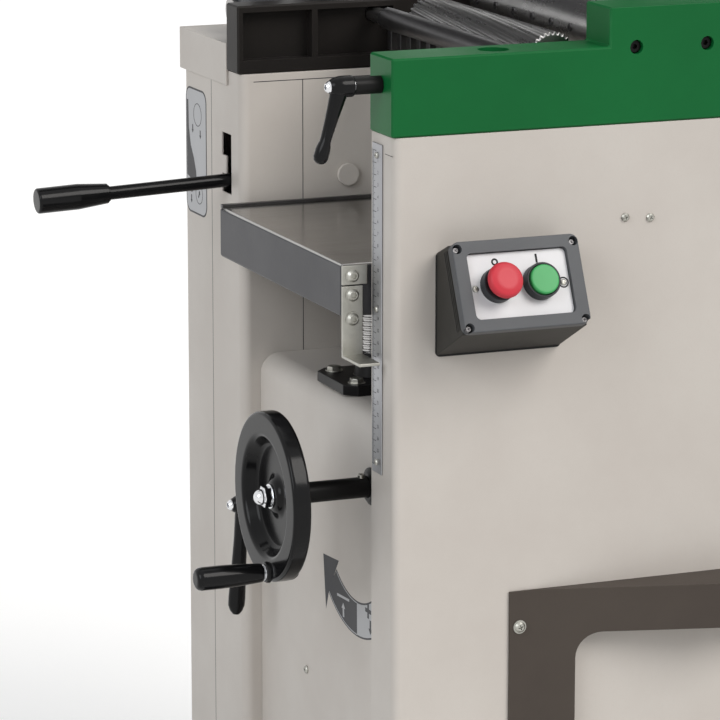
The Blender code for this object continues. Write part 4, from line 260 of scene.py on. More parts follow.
class Skin(Tree):
    """A material's node tree, with the shared groups and its own Principled shader."""

    def __init__(self, name: str) -> None:
        """Make the material.

        Args:
            name: The material's name.
        """
        self.material = bpy.data.materials.new(name)
        self.material.use_nodes = True
        super().__init__(self.material.node_tree)
        self.shader = self.tree.nodes["Principled BSDF"]

    def group(self, name: str, inputs: dict) -> bpy.types.Node:
        """Place one of the shared groups, with its own values."""
        node = self.add("ShaderNodeGroup", node_tree=GROUPS[name])
        for label, value in inputs.items():
            if isinstance(value, Socket):
                self.tree.links.new(value, node.inputs[label])
            else:
                node.inputs[label].default_value = value
        return node

    def plain(self, **values: float) -> None:
        """Set sockets of the shader that are the same all over, by their names with _ for spaces."""
        for label, value in values.items():
            self.shader.inputs[label.replace("_", " ")].default_value = value

    def drive(self, label: str, value: Socket) -> None:
        """Join a socket to one of the shader's inputs."""
        self.tree.links.new(value, self.shader.inputs[label])

    def relief(self, height: Socket, depth: float) -> None:
        """Raise the surface by a height, in metres at full height."""
        bump = self.add("ShaderNodeBump", {"Height": height, "Distance": depth, "Strength": 1.0})
        self.drive("Normal", bump.outputs[0])


@dataclass(frozen=True)
class Coat:
    """A paint, a powder coat or a moulded plastic."""

    name: str
    slot: str
    colour: Colour
    drift: Colour
    # painted highlight: the lighter tone laid along the edges
    painted_highlight: Colour
    roughness: float = 0.45
    spread: float = 0.08
    grain_scale: float = 500.0
    grain_depth: float = 0.00003
    speck: float = 0.10
    # how strong the painted edge highlight is, and the radius over which edges count
    edge_highlight: float = 0.25
    edge_highlight_radius: float = 0.0009
    shine: float = 0.5
    bend: float = 1.5

    def build(self) -> bpy.types.Material:
        """Make the material."""
        skin = Skin(self.name)
        clouds = skin.group("clouds", {"Colour": self.colour, "Drift": self.drift, "Amount": 0.8})
        specks = skin.group("speckle", {"Colour": clouds.outputs["Colour"], "Speck": self.drift,
                                        "Amount": self.speck, "Scale": 2 * self.grain_scale})
        # painted highlight: the colour turns lighter along every edge, in patches
        highlighted = skin.group("edge_highlight", {"Colour": specks.outputs["Colour"], "Highlight": self.painted_highlight,
                                   "Radius": self.edge_highlight_radius, "Amount": self.edge_highlight})
        skin.drive("Base Color", highlighted.outputs["Colour"])
        rough = skin.remap(clouds.outputs["Mask"], 0.0, 1.0, self.roughness, self.roughness + self.spread)
        skin.drive("Roughness", rough)
        skin.relief(skin.group("skin", {"Scale": self.grain_scale}).outputs["Height"], self.grain_depth)
        skin.plain(IOR=self.bend, Specular_IOR_Level=self.shine)
        return skin.material


@dataclass(frozen=True)
class Metal:
    """A bare or plated metal with its machining lines."""

    name: str
    slot: str
    colour: Colour
    drift: Colour
    roughness: float = 0.30
    spread: float = 0.12
    stretch: tuple[float, float, float] = (700.0, 700.0, 700.0)
    line_depth: float = 0.000008
    cloud_scale: float = 14.0

    def build(self) -> bpy.types.Material:
        """Make the material."""
        skin = Skin(self.name)
        clouds = skin.group("clouds", {"Colour": self.colour, "Drift": self.drift,
                                       "Scale": self.cloud_scale, "Amount": 0.9})
        lines = skin.group("lines", {"Stretch": self.stretch})
        skin.drive("Base Color", clouds.outputs["Colour"])
        both = skin.maths("ADD", lines.outputs["Mask"], clouds.outputs["Mask"])
        varied = skin.maths("MULTIPLY", both, 0.5)
        skin.drive("Roughness", skin.remap(varied, 0.0, 1.0, self.roughness, self.roughness + self.spread))
        skin.relief(lines.outputs["Height"], self.line_depth)
        skin.plain(Metallic=1.0)
        return skin.material


class Finish(Enum):
    """Every finish on the machine."""

    # Each coat's third colour is the lighter tone of its painted edge highlight.
    CREAM = Coat("cream_powder_coat", "cream_paint", tone(206, 200, 193), tone(199, 192, 185),
                 tone(222, 218, 212), speck=0.35, edge_highlight=0.35)
    GREEN = Coat("green_enamel", "green_paint", tone(14, 102, 50), tone(12, 94, 46), tone(60, 140, 88),
                 roughness=0.38, speck=0.25, edge_highlight=0.3, shine=0.16)
    CAST_BLACK = Coat("black_enamel_on_casting", "black_paint", tone(34, 31, 29), tone(28, 26, 25),
                      tone(78, 74, 70), roughness=0.42, grain_scale=320.0, grain_depth=0.00007, edge_highlight=0.35,
                      shine=0.16)
    BROWN_BLACK = Coat("brown_black_powder_coat", "powder_coat", tone(76, 69, 63), tone(70, 63, 58),
                       tone(112, 104, 96), roughness=0.52, grain_scale=700.0, speck=0.3, shine=0.2)
    DARK_PAINT = Coat("dark_grey_machine_paint", "dark_paint", tone(58, 60, 63), tone(52, 54, 57),
                      tone(104, 106, 108), roughness=0.45, grain_scale=350.0, edge_highlight=0.35, shine=0.3)
    TABLE_PAINT = Coat("grey_paint_on_table_casting", "machined_iron", tone(74, 74, 77), tone(69, 69, 72),
                       tone(120, 120, 122), roughness=0.42, grain_scale=380.0, grain_depth=0.00005,
                       shine=0.25)
    PHENOLIC = Coat("gloss_black_phenolic", "black_gloss", tone(20, 20, 21), tone(17, 17, 18),
                    tone(54, 54, 55), roughness=0.13, spread=0.06, grain_scale=160.0, grain_depth=0.00002,
                    speck=0.05, edge_highlight=0.12, bend=1.25)
    SATIN_BLACK = Coat("satin_black_enamel", "black_paint", tone(27, 26, 26), tone(23, 23, 23),
                       tone(70, 69, 68), roughness=0.33, grain_scale=420.0, edge_highlight=0.25, shine=0.12)
    LID_PLASTIC = Coat("grey_moulded_lid", "grey_plastic", tone(86, 88, 91), tone(80, 82, 85),
                       tone(118, 120, 122), roughness=0.46, grain_scale=1100.0, edge_highlight=0.3, shine=0.3)
    # The box's own plastic is a darker grey than the lid's, and its tone is made darker still to stand for
    # the shade on its sides: painted shade.
    BOX_PLASTIC = Coat("grey_moulded_box_with_painted_shade", "grey_plastic", tone(58, 56, 53), tone(52, 51, 48),
                       tone(88, 87, 84), roughness=0.5, grain_scale=1100.0, shine=0.18)
    RED = Coat("red_moulded_button", "red_plastic", tone(206, 44, 60), tone(196, 38, 54), tone(226, 96, 106),
               roughness=0.42, grain_scale=1300.0, grain_depth=0.00001, edge_highlight=0.15)
    START_GREEN = Coat("green_moulded_button", "green_plastic", tone(58, 164, 90), tone(52, 154, 82),
                       tone(110, 196, 136), roughness=0.4, grain_scale=1300.0, grain_depth=0.00001,
                       edge_highlight=0.15)
    BEZEL = Coat("black_bezel_plastic", "grey_plastic", tone(52, 54, 57), tone(46, 48, 51), tone(92, 94, 96),
                 roughness=0.4, grain_scale=1200.0, shine=0.2)
    PRINT_WHITE = Coat("pale_printed_plate", "satin_aluminium", tone(226, 226, 228), tone(219, 219, 222),
                       tone(238, 238, 240), roughness=0.38, grain_scale=1500.0, grain_depth=0.00001)
    PRINT_GREY = Coat("grey_printed_film", "cream_paint", tone(180, 181, 184), tone(174, 175, 178),
                      tone(200, 201, 203), roughness=0.34, grain_scale=1500.0, grain_depth=0.00001)
    PRINT_DARK = Coat("dark_printed_film", "dark_paint", tone(56, 56, 60), tone(50, 50, 54),
                      tone(92, 92, 95), roughness=0.34, grain_scale=1500.0, grain_depth=0.00001, shine=0.15)
    INK = Coat("black_ink", "dark_paint", tone(32, 32, 34), tone(40, 40, 42), tone(60, 60, 62),
               roughness=0.5, grain_scale=1500.0, grain_depth=0.00001, shine=0.15)
    RUBBER = Coat("black_rubber", "belt_rubber", tone(30, 30, 30), tone(25, 25, 25), tone(60, 60, 59),
                  roughness=0.72, grain_scale=900.0, shine=0.3)
    PLANED_IRON = Metal("planed_cast_iron", "machined_iron", tone(172, 170, 168), tone(160, 159, 157),
                        roughness=0.13, spread=0.10, stretch=(26.0, 1500.0, 1500.0), line_depth=0.000002)
    DARK_IRON = Metal("oiled_iron", "machined_iron", tone(104, 103, 104), tone(88, 87, 88), roughness=0.32)
    STEEL = Metal("bright_turned_steel", "bright_steel", tone(178, 177, 176), tone(160, 159, 158),
                  roughness=0.22, stretch=(1100.0, 60.0, 1100.0))
    ZINC = Metal("zinc_plate", "bright_steel", tone(176, 175, 168), tone(158, 157, 150), roughness=0.30,
                 spread=0.18, cloud_scale=60.0)
    CHROME = Metal("chrome_plate", "chrome", tone(226, 227, 229), tone(212, 213, 216), roughness=0.06,
                   spread=0.05, line_depth=0.000003)
    ALUMINIUM = Metal("brushed_aluminium", "satin_aluminium", tone(190, 191, 193), tone(178, 179, 181),
                      roughness=0.28, stretch=(30.0, 1300.0, 1300.0))
    SCALE_STRIP = Metal("anodised_scale_strip", "satin_aluminium", tone(172, 173, 176), tone(162, 163, 167),
                        roughness=0.4, stretch=(1300.0, 1300.0, 30.0))
    BRONZE = Metal("bronze", "bronze", tone(176, 132, 76), tone(150, 112, 66), roughness=0.3)

    def material(self) -> bpy.types.Material:
        """The finish's material, made once."""
        return bpy.data.materials.get(self.value.name) or self.value.build()


def plane(origin: Sequence[float], right: Sequence[float], up: Sequence[float]) -> Matrix:
    """The place of a flat drawing.

    Args:
        origin: The drawing's own zero.
        right: The way its first axis runs.
        up: The way its second axis runs.

    Returns:
        A matrix whose third axis stands out of the drawing.
    """
    first, second = Vector(right).normalized(), Vector(up).normalized()
    turn = Matrix((first, second, first.cross(second))).transposed().to_4x4()
    return Matrix.Translation(origin) @ turn


def along(origin: Sequence[float], out: Sequence[float]) -> Matrix:
    """A place whose third axis runs the given way."""
    return Matrix.Translation(origin) @ Vector(out).to_track_quat("Z", "Y").to_matrix().to_4x4()


def end_face(x: float, y: float, z: float) -> Matrix:
    """A drawing's place on a face that looks to -X, seen the right way up."""
    return plane((x, y, z), (0, -1, 0), (0, 0, 1))


def front_face(x: float, y: float, z: float) -> Matrix:
    """A drawing's place on a face that looks to the operator."""
    return plane((x, y, z), (1, 0, 0), (0, 0, 1))


def disc(radius: float) -> Outline:
    """A round outline."""
    return lambda angle: radius


def oval(wide: float, high: float) -> Outline:
    """An elliptical outline with these half-widths."""
    return lambda angle: wide * high / sqrt((high * cos(angle)) ** 2 + (wide * sin(angle)) ** 2)


def polygon(flats: float, sides: int) -> Outline:
    """An outline with flat sides, by the distance from its middle to a flat."""
    step = FULL_TURN / sides
    return lambda angle: flats / cos(angle % step - step / 2)


def cross(reach: float, width: float) -> Outline:
    """A cross with four arms, by its reach and the arms' width."""
    def radius(angle: float) -> float:
        """The outline's radius at an angle."""
        off = abs((angle + pi / 4) % (pi / 2) - pi / 4)
        return min(reach, width / 2 / max(sin(off), MERGE))
    return radius


def eased(profile: Profile, radius: float, steps: int = 4) -> list[tuple[float, float]]:
    """Round the inner corners of an open profile.

    Args:
        profile: Points of (radius, along).
        radius: How far back from a corner its curve starts, at most half of a side.
        steps: Straight parts of each curve.

    Returns:
        The profile with a curve at each corner.
    """
    spots = [Vector(spot) for spot in profile]
    made = [spots[0]]
    for before, corner, after in zip(spots, spots[1:], spots[2:]):
        back, ahead = before - corner, after - corner
        start = corner + back.normalized() * min(radius, back.length / 2)
        end = corner + ahead.normalized() * min(radius, ahead.length / 2)
        for step in range(steps + 1):
            share = step / steps
            made.append(start * (1 - share) ** 2 + corner * 2 * share * (1 - share) + end * share ** 2)
    made.append(spots[-1])
    return [(spot.x, spot.y) for spot in made]


class Shape:
    """A bmesh in the making, shaped step by step with operators."""

    def __init__(self) -> None:
        """Start with nothing."""
        self.work = bmesh.new()

    @classmethod
    def of_node(cls, *nodes: str) -> "Shape":
        """A copy of CAD nodes, merged, with their flat faces made whole."""
        shape = cls()
        for node in nodes:
            shape.work.from_mesh(frame["nodes"][node].data)
        work = shape.work
        bmesh.ops.remove_doubles(work, verts=work.verts, dist=MERGE)
        bmesh.ops.dissolve_limit(work, angle_limit=FLAT, verts=work.verts, edges=work.edges)
        return shape

    def _close(self, old: set) -> "Shape":
        """Merge doubles among the new vertices and turn the new faces outwards."""
        fresh = [spot for spot in self.work.verts if spot not in old]
        bmesh.ops.remove_doubles(self.work, verts=fresh, dist=MERGE)
        fresh = [spot for spot in self.work.verts if spot not in old]
        faces = list({face for spot in fresh for face in spot.link_faces})
        bmesh.ops.recalc_face_normals(self.work, faces=faces)
        return self

    def box(self, low: Sequence[float], high: Sequence[float], place: Matrix = Matrix(),
            ease: float = 0.0, steps: int = 2) -> "Shape":
        """Add a box between two corners.

        Args:
            low: Its lowest corner, in the place's own axes.
            high: Its highest corner.
            place: Where those axes are.
            ease: Width of the round on its edges.
            steps: Parts of that round.

        Returns:
            This shape.
        """
        low, high = Vector(low), Vector(high)
        sized = Matrix.Translation((low + high) / 2) @ Matrix.Diagonal((*(high - low), 1))
        made = bmesh.ops.create_cube(self.work, size=1, matrix=place @ sized)["verts"]
        if ease:
            self._bevel({edge for spot in made for edge in spot.link_edges}, ease, steps)
        return self

    def slab(self, width: float, height: float, corner: float, low: float, high: float,
             place: Matrix, ease: float = 0.0) -> "Shape":
        """Add a plate with round corners, centred on a drawing's place.

        Args:
            width: Size along the drawing's first axis.
            height: Size along its second axis.
            corner: Radius of its corners.
            low: Where it starts along the third axis.
            high: Where it ends.
            place: The drawing's place.
            ease: Width of the round on its outer edge.

        Returns:
            This shape.
        """
        stretch = Matrix.Diagonal((width, height, high - low, 1))
        sized = Matrix.Translation((0, 0, (low + high) / 2)) @ stretch
        made = bmesh.ops.create_cube(self.work, size=1, matrix=place @ sized)["verts"]
        out = (place.to_3x3() @ Vector((0, 0, 1))).normalized()
        edges = {edge for spot in made for edge in spot.link_edges}
        upright = [edge for edge in edges
                   if abs((edge.verts[0].co - edge.verts[1].co).normalized().dot(out)) > cos(CREASE)]
        made = self._bevel(upright, corner, 8)
        if ease:
            faces = {face for spot in made for face in spot.link_faces}
            self.work.normal_update()
            front = [edge for face in faces if face.normal.dot(out) > cos(CREASE) for edge in face.edges]
            self._bevel(front, ease, 2)
        return self

    def rod(self, start: Sequence[float], end: Sequence[float], radius: float,
            end_radius: float | None = None, sides: int = SMALL_STEPS, ease: float = 0.0) -> "Shape":
        """Add a round rod or cone between two points."""
        start, end = Vector(start), Vector(end)
        length = (end - start).length
        last = radius if end_radius is None else end_radius
        profile = [(0, 0), (radius, 0), (last, length), (0, length)]
        if ease:
            profile = [(0, 0), *eased(profile, ease)[1:-1], (0, length)]
        return self.lathe(profile, start, end - start, sides)

    def lathe(self, profile: Profile, place: Sequence[float], axis: Sequence[float],
              steps: int = ROUND_STEPS, ring: bool = False) -> "Shape":
        """Spin a profile about an axis.

        Args:
            profile: Points of (radius, along).
            place: A point on the axis, where along is zero.
            axis: The way that along runs.
            steps: Parts of the full turn.
            ring: Whether the profile's last point joins its first.

        Returns:
            This shape.
        """
        old = set(self.work.verts)
        frame_at = along(place, axis)
        spots = [self.work.verts.new(frame_at @ Vector((radius, 0, height))) for radius, height in profile]
        lines = [self.work.edges.new(pair) for pair in zip(spots, spots[1:])]
        if ring:
            lines.append(self.work.edges.new((spots[-1], spots[0])))
        bmesh.ops.spin(self.work, geom=spots + lines, cent=Vector(place), axis=Vector(axis).normalized(),
                       dvec=(0, 0, 0), angle=FULL_TURN, steps=steps, use_merge=True, use_duplicate=False)
        return self._close(old)

    def band(self, inner: float, outer: float, start: float, end: float, low: float, high: float,
             place: Matrix, steps: int = SMALL_STEPS) -> "Shape":
        """Add a flat curved band on a drawing.

        Args:
            inner: Its inner radius.
            outer: Its outer radius.
            start: The angle where it starts, in degrees.
            end: The angle where it ends.
            low: Where it starts along the drawing's third axis.
            high: Where it ends.
            place: The drawing's place.
            steps: Parts of its sweep.

        Returns:
            This shape.
        """
        old = set(self.work.verts)
        way = Vector((cos(radians(start)), sin(radians(start)), 0))
        spots = [self.work.verts.new(place @ (way * radius + Vector((0, 0, low))))
                 for radius in (inner, outer)]
        line = self.work.edges.new(spots)
        out = place.to_3x3() @ Vector((0, 0, 1))
        whole = abs(end - start) >= degrees(FULL_TURN) - MERGE
        bmesh.ops.spin(self.work, geom=[*spots, line], cent=place.translation, axis=out, dvec=(0, 0, 0),
                       angle=radians(end - start), steps=steps, use_merge=whole, use_duplicate=False)
        faces = list({face for spot in self.work.verts if spot not in old for face in spot.link_faces})
        self._raise(faces, out * (high - low))
        return self._close(old)

    def prism(self, outline: Sequence[tuple[float, float]], low: float, high: float, place: Matrix,
              ease: float = 0.0) -> "Shape":
        """Give a flat outline on a drawing its thickness."""
        old = set(self.work.verts)
        spots = [self.work.verts.new(place @ Vector((across, up, low))) for across, up in outline]
        self._raise([self.work.faces.new(spots)], place.to_3x3() @ Vector((0, 0, high - low)))
        self._close(old)
        if ease:
            edges = {edge for spot in self.work.verts if spot not in old for edge in spot.link_edges}
            self._bevel(edges, ease, 2)
        return self

    def stack(self, rings: Sequence[tuple[Matrix, Outline]], count: int = SCREW_STEPS) -> "Shape":
        """Join outlines, each at its own place, into one closed body.

        Args:
            rings: Each outline with its place.
            count: Points on each outline.

        Returns:
            This shape.
        """
        old = set(self.work.verts)
        place, outline = rings[0]
        loop = bmesh.ops.create_circle(self.work, segments=count, radius=1, matrix=place)["verts"]
        edges = list({edge for spot in loop for edge in spot.link_edges})
        self._lay(loop, place, place, outline)
        first = edges
        for place_next, outline_next in rings[1:]:
            grown = bmesh.ops.extrude_edge_only(self.work, edges=edges)["geom"]
            loop = [item for item in grown if isinstance(item, bmesh.types.BMVert)]
            edges = [item for item in grown if isinstance(item, bmesh.types.BMEdge)]
            self._lay(loop, place, place_next, outline_next)
            place = place_next
        for rim in (first, edges):
            bmesh.ops.edgeloop_fill(self.work, edges=rim)
        return self._close(old)

    @staticmethod
    def _lay(loop: Iterable, before: Matrix, place: Matrix, outline: Outline) -> None:
        """Move a loop's vertices onto an outline, each at the angle it has now."""
        back = before.inverted()
        for spot in loop:
            here = back @ spot.co
            angle = atan2(here.y, here.x) % FULL_TURN
            reach = outline(angle)
            spot.co = place @ Vector((reach * cos(angle), reach * sin(angle), 0))

    def helix(self, radius: float, depth: float, pitch: float, turns: int,
              place: Sequence[float]) -> "Shape":
        """Add a screw thread that climbs from a place along +Z."""
        old = set(self.work.verts)
        low, tip = radius - depth, pitch / 4
        root = (pitch - tip) / 2
        corners = [(low, -root), (radius, -tip / 2), (radius, tip / 2), (low, root)]
        spots = [self.work.verts.new(Vector(place) + Vector((reach, 0, height)))
                 for reach, height in corners]
        side = self.work.faces.new(spots)
        steps = 16 * turns
        bmesh.ops.spin(self.work, geom=[side], cent=Vector(place), axis=(0, 0, 1),
                       dvec=(0, 0, pitch * turns / steps), angle=FULL_TURN * turns, steps=steps,
                       use_merge=False, use_duplicate=False)
        fresh = [spot for spot in self.work.verts if spot not in old]
        faces = list({face for spot in fresh for face in spot.link_faces})
        bmesh.ops.recalc_face_normals(self.work, faces=faces)
        return self

    def _raise(self, faces: list, step: Vector) -> None:
        """Extrude faces into a closed body."""
        grown = bmesh.ops.extrude_face_region(self.work, geom=faces)["geom"]
        spots = [item for item in grown if isinstance(item, bmesh.types.BMVert)]
        bmesh.ops.translate(self.work, verts=spots, vec=step)

    def _bevel(self, edges: Iterable, width: float, steps: int) -> list:
        """Round edges, and give the vertices that result."""
        made = bmesh.ops.bevel(self.work, geom=list(set(edges)), offset=width, offset_type="OFFSET",
                               affect="EDGES", segments=steps, profile=EVEN_PROFILE, clamp_overlap=True,
                               material=KEEP_MATERIAL)
        return made["verts"]

    def soften(self, width: float, steps: int = 2) -> "Shape":
        """Round every sharp edge.

        Args:
            width: Width of the round.
            steps: Parts of the round.

        Returns:
            This shape.
        """
        sharp = [edge for edge in self.work.edges if edge.is_manifold and edge.calc_face_angle(0) > CREASE]
        self._bevel(sharp, width, steps)
        return self

    def lettering(self, text: str, height: float, low: float, high: float, place: Matrix) -> "Shape":
        """Add raised characters, centred on a drawing's place."""
        curve = bpy.data.curves.new("lettering", "FONT")
        curve.body, curve.size, curve.extrude = text, height, (high - low) / 2
        curve.align_x, curve.align_y = "CENTER", "CENTER"
        drawn = bpy.data.objects.new("lettering", curve)
        bpy.context.scene.collection.objects.link(drawn)
        bpy.context.view_layer.update()
        mesh = bpy.data.meshes.new_from_object(drawn.evaluated_get(bpy.context.evaluated_depsgraph_get()))
        mesh.transform(place @ Matrix.Translation((0, 0, (low + high) / 2)))
        self.work.from_mesh(mesh)
        bpy.data.objects.remove(drawn)
        bpy.data.curves.remove(curve)
        bpy.data.meshes.remove(mesh)
        return self

    def mesh(self, name: str) -> bpy.types.Mesh:
        """The finished mesh, smooth with its creases kept."""
        mesh = bpy.data.meshes.new(name)
        self.work.to_mesh(mesh)
        self.work.free()
        mesh.shade_smooth()
        mesh.set_sharp_from_angle(angle=CREASE)
        return mesh


def place_piece(name: str, shape: Shape, finish: Finish, body: str, replaces: Sequence[str] = ()
                ) -> bpy.types.Object:
    """Put a shaped piece in the scene.

    Args:
        name: The piece's name.
        shape: Its shape, in the row frame.
        finish: Its finish.
        body: The body it rides on.
        replaces: CAD nodes that it stands for.

    Returns:
        The new object.
    """
    piece = bpy.data.objects.new(name, shape.mesh(name))
    bpy.context.scene.collection.objects.link(piece)
    piece.data.materials.clear()
    piece.data.materials.append(finish.material())
    even = piece.modifiers.new("even_faces", "WEIGHTED_NORMAL")
    even.keep_sharp = True
    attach(piece, body)
    if replaces:
        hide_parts(*replaces)
    LOG.info("%s: %d faces in %s, on %s", name, len(piece.data.polygons), finish.value.name, body)
    return piece


def dressed(node: str, finish: Finish, width: float = 0.0006, steps: int = 2) -> bpy.types.Object:
    """A CAD node's shape with its edges rounded, standing for that node.

    Args:
        node: The node's name.
        finish: Its finish.
        width: Width of the round on its edges.
        steps: Parts of that round.

    Returns:
        The new piece.
    """
    shape = Shape.of_node(node).soften(width, steps)
    return place_piece(node + "_finished", shape, finish, BODY_OF[node], [node])


def face_finish(piece: bpy.types.Object, finish: Finish, way: Sequence[float]) -> None:
    """Give the faces that look one way, and the rounds beside them, another finish."""
    piece.data.materials.append(finish.material())
    for face in piece.data.polygons:
        if face.normal.dot(Vector(way)) > cos(radians(50)):
            face.material_index = 1


def carved(piece: bpy.types.Object, cutter: Shape) -> None:
    """Cut a shape out of a piece with an applied Boolean."""
    tool = bpy.data.objects.new("cutter", cutter.mesh("cutter"))
    bpy.context.scene.collection.objects.link(tool)
    step = piece.modifiers.new("cut", "BOOLEAN")
    step.operation, step.solver, step.object = "DIFFERENCE", "EXACT", tool
    others = [item for item in piece.modifiers if item != step]
    for item in others:
        item.show_viewport = False
    bpy.context.view_layer.update()
    mesh = bpy.data.meshes.new_from_object(piece.evaluated_get(bpy.context.evaluated_depsgraph_get()))
    for item in others:
        item.show_viewport = True
    piece.modifiers.remove(step)
    piece.data = mesh
    mesh.shade_smooth()
    mesh.set_sharp_from_angle(angle=CREASE)
    bpy.data.objects.remove(tool)


class Head(Enum):
    """Kinds of screw head."""

    SOCKET = "socket"
    BUTTON = "button"
    PAN = "pan"
    HEX = "hex"
    GRUB = "grub"


@dataclass(frozen=True)
class Screw:
    """A screw head that stands on a surface."""

    head: Head
    radius: float
    height: float
    washer: float = 0.0
    washer_thick: float = 0.0008

    def add(self, shape: Shape, place: Sequence[float], out: Sequence[float], turn: float = 0.0) -> None:
        """Add the head to a shape.

        Args:
            shape: The shape that takes it.
            place: The point of the surface it stands on.
            out: The way out of the surface.
            turn: How far the drive is turned, in degrees.
        """
        base = along(place, out) @ Matrix.Rotation(radians(turn), 4, "Z")
        low = -self.height / 4
        if self.washer:
            shape.lathe(eased([(0, low), (self.washer, low), (self.washer, self.washer_thick),
                               (0, self.washer_thick)], self.washer_thick / 3, 2), place, out, SMALL_STEPS)
        top, wide = self.height, self.radius

        def ring(height: float, outline: Outline) -> tuple[Matrix, Outline]:
            """One outline at its height."""
            return base @ Matrix.Translation((0, 0, height)), outline

        if self.head is Head.HEX:
            flats = wide * cos(pi / 6)
            shape.stack([ring(low, polygon(flats, 6)), ring(top * 0.85, polygon(flats, 6)),
                         ring(top * 0.97, disc(wide * 0.86)), ring(top, disc(wide * 0.78))])
            return
        drive = cross(wide * 0.55, wide * 0.22) if self.head is Head.PAN else polygon(wide * 0.42, 6)
        shoulder = {Head.SOCKET: 0.93, Head.BUTTON: 0.35, Head.PAN: 0.45, Head.GRUB: 0.8}[self.head]
        crown = {Head.SOCKET: 0.93, Head.BUTTON: 0.62, Head.PAN: 0.66, Head.GRUB: 0.8}[self.head]
        shape.stack([ring(low, disc(wide)), ring(top * shoulder, disc(wide)),
                     ring(top * (shoulder + 1) / 2, disc(wide * (crown + 1.3) / 2.3)),
                     ring(top, disc(wide * crown)), ring(top, drive), ring(top * 0.35, drive)])


PANEL_SCREW = Screw(Head.PAN, 0.0036, 0.0022)
SCALE_SCREW = Screw(Head.PAN, 0.0027, 0.0018)
TAB_SCREW = Screw(Head.BUTTON, 0.0053, 0.0032, washer=0.0064)
FLANGE_BOLT = Screw(Head.HEX, 0.0062, 0.0042, washer=0.0076)
BEAM_SCREW = Screw(Head.SOCKET, 0.0050, 0.0050)
LEVER_SCREW = Screw(Head.BUTTON, 0.0050, 0.0036)


def screws(name: str, kind: Screw, spots: Iterable[tuple[Sequence[float], Sequence[float]]], body: str,
           finish: Finish = Finish.ZINC) -> bpy.types.Object:
    """A set of screws of one kind, as one piece.

    Args:
        name: The piece's name.
        kind: The screws' kind.
        spots: Each screw's point and the way out of its surface.
        body: The body they ride on.
        finish: Their finish.

    Returns:
        The new piece.
    """
    shape = Shape()
    for number, (place, out) in enumerate(spots):
        kind.add(shape, place, out, 17.0 + 38.0 * number)
    return place_piece(name, shape, finish, body)


@dataclass
class Body:
    """Sheet body: front wall, cabinet, rear upright, cover, cap and base."""

    seam_width: float = 0.0007
    seam_proud: float = 0.00006
    wall_seam_x: float = -0.187
    cover_seam_y: float = 0.1765
    panel_screws: tuple = ((-0.0405, 0.6750), (-0.0178, 0.6734))
    end_screw: tuple[float, float] = (-0.0119, 0.245)
    cover_inset: float = 0.012
    cap_top: float = 0.780
    cap_inset: float = 0.030
    slit_low: float = 0.7368
    slit_high: float = 0.7373
    slit_back: float = -0.2323

    def build(self) -> None:
        """Make the sheet body."""
        dressed("base_plate", Finish.DARK_PAINT, 0.0012)
        dressed("front_wall", Finish.CREAM, 0.0009, 3)
        for node in ("cabinet", "rear_upright", "rear_cover", "rear_cap"):
            dressed(node, Finish.CREAM, 0.0006)
        self._seams()
        self._screws()

    def _seams(self) -> None:
        """Dark lines where sheets meet, and a thin black film that stands for the shade inside the relief
        slit at the front wall's corner: painted shade.
        """
        upright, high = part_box("rear_upright")
        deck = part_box("cabinet")[1].z
        proud, half = self.seam_proud, self.seam_width / 2
        seam = Shape()
        x = self.wall_seam_x
        seam.box((x - half, upright.y - proud, deck), (x + half, upright.y + proud, high.z - 0.007))
        seam.box((upright.x + 0.012, upright.y - proud, high.z - 0.007),
                 (high.x - 0.012, upright.y + proud, high.z - 0.007 + self.seam_width))
        seam.box((upright.x - proud, self.cover_seam_y - half, upright.z + 0.004),
                 (upright.x + proud, self.cover_seam_y + half, high.z - 0.004))
        place_piece("inner_wall_seams", seam, Finish.PRINT_DARK, MACHINE)
        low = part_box("front_wall")[0]
        # painted shade: no slit is cut; a thin black film shows where its shade falls
        slit = Shape()
        slit.box((low.x - proud, low.y + 0.003, self.slit_low),
                 (low.x + proud, self.slit_back, self.slit_high))
        place_piece("corner_relief_slit_painted_shade", slit, Finish.INK, MACHINE)

    def _screws(self) -> None:
        """Small screws in the sheets."""
        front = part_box("front_wall")[0].y
        spots = [((x, front, z), (0, -1, 0)) for x, z in self.panel_screws]
        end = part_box("cabinet")[0].x
        spots.append(((end, *self.end_screw), (-1, 0, 0)))
        screws("panel_screws", PANEL_SCREW, spots, MACHINE)
        low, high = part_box("rear_cover")
        inset = self.cover_inset
        backs = [((x, high.y, z), (0, 1, 0)) for x in (low.x + inset, high.x - inset)
                 for z in (low.z + 2 * inset, (low.z + high.z) / 2, high.z - 3 * inset)]
        screws("rear_cover_screws", PANEL_SCREW, backs, MACHINE)
        cap_low, cap_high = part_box("rear_cap")
        middle = (cap_high.y + cap_low.y) / 2
        inset = self.cap_inset
        tops = [((x, middle, self.cap_top), (0, 0, 1)) for x in (cap_low.x + inset, cap_high.x - inset)]
        screws("cap_screws", PANEL_SCREW, tops, MACHINE)


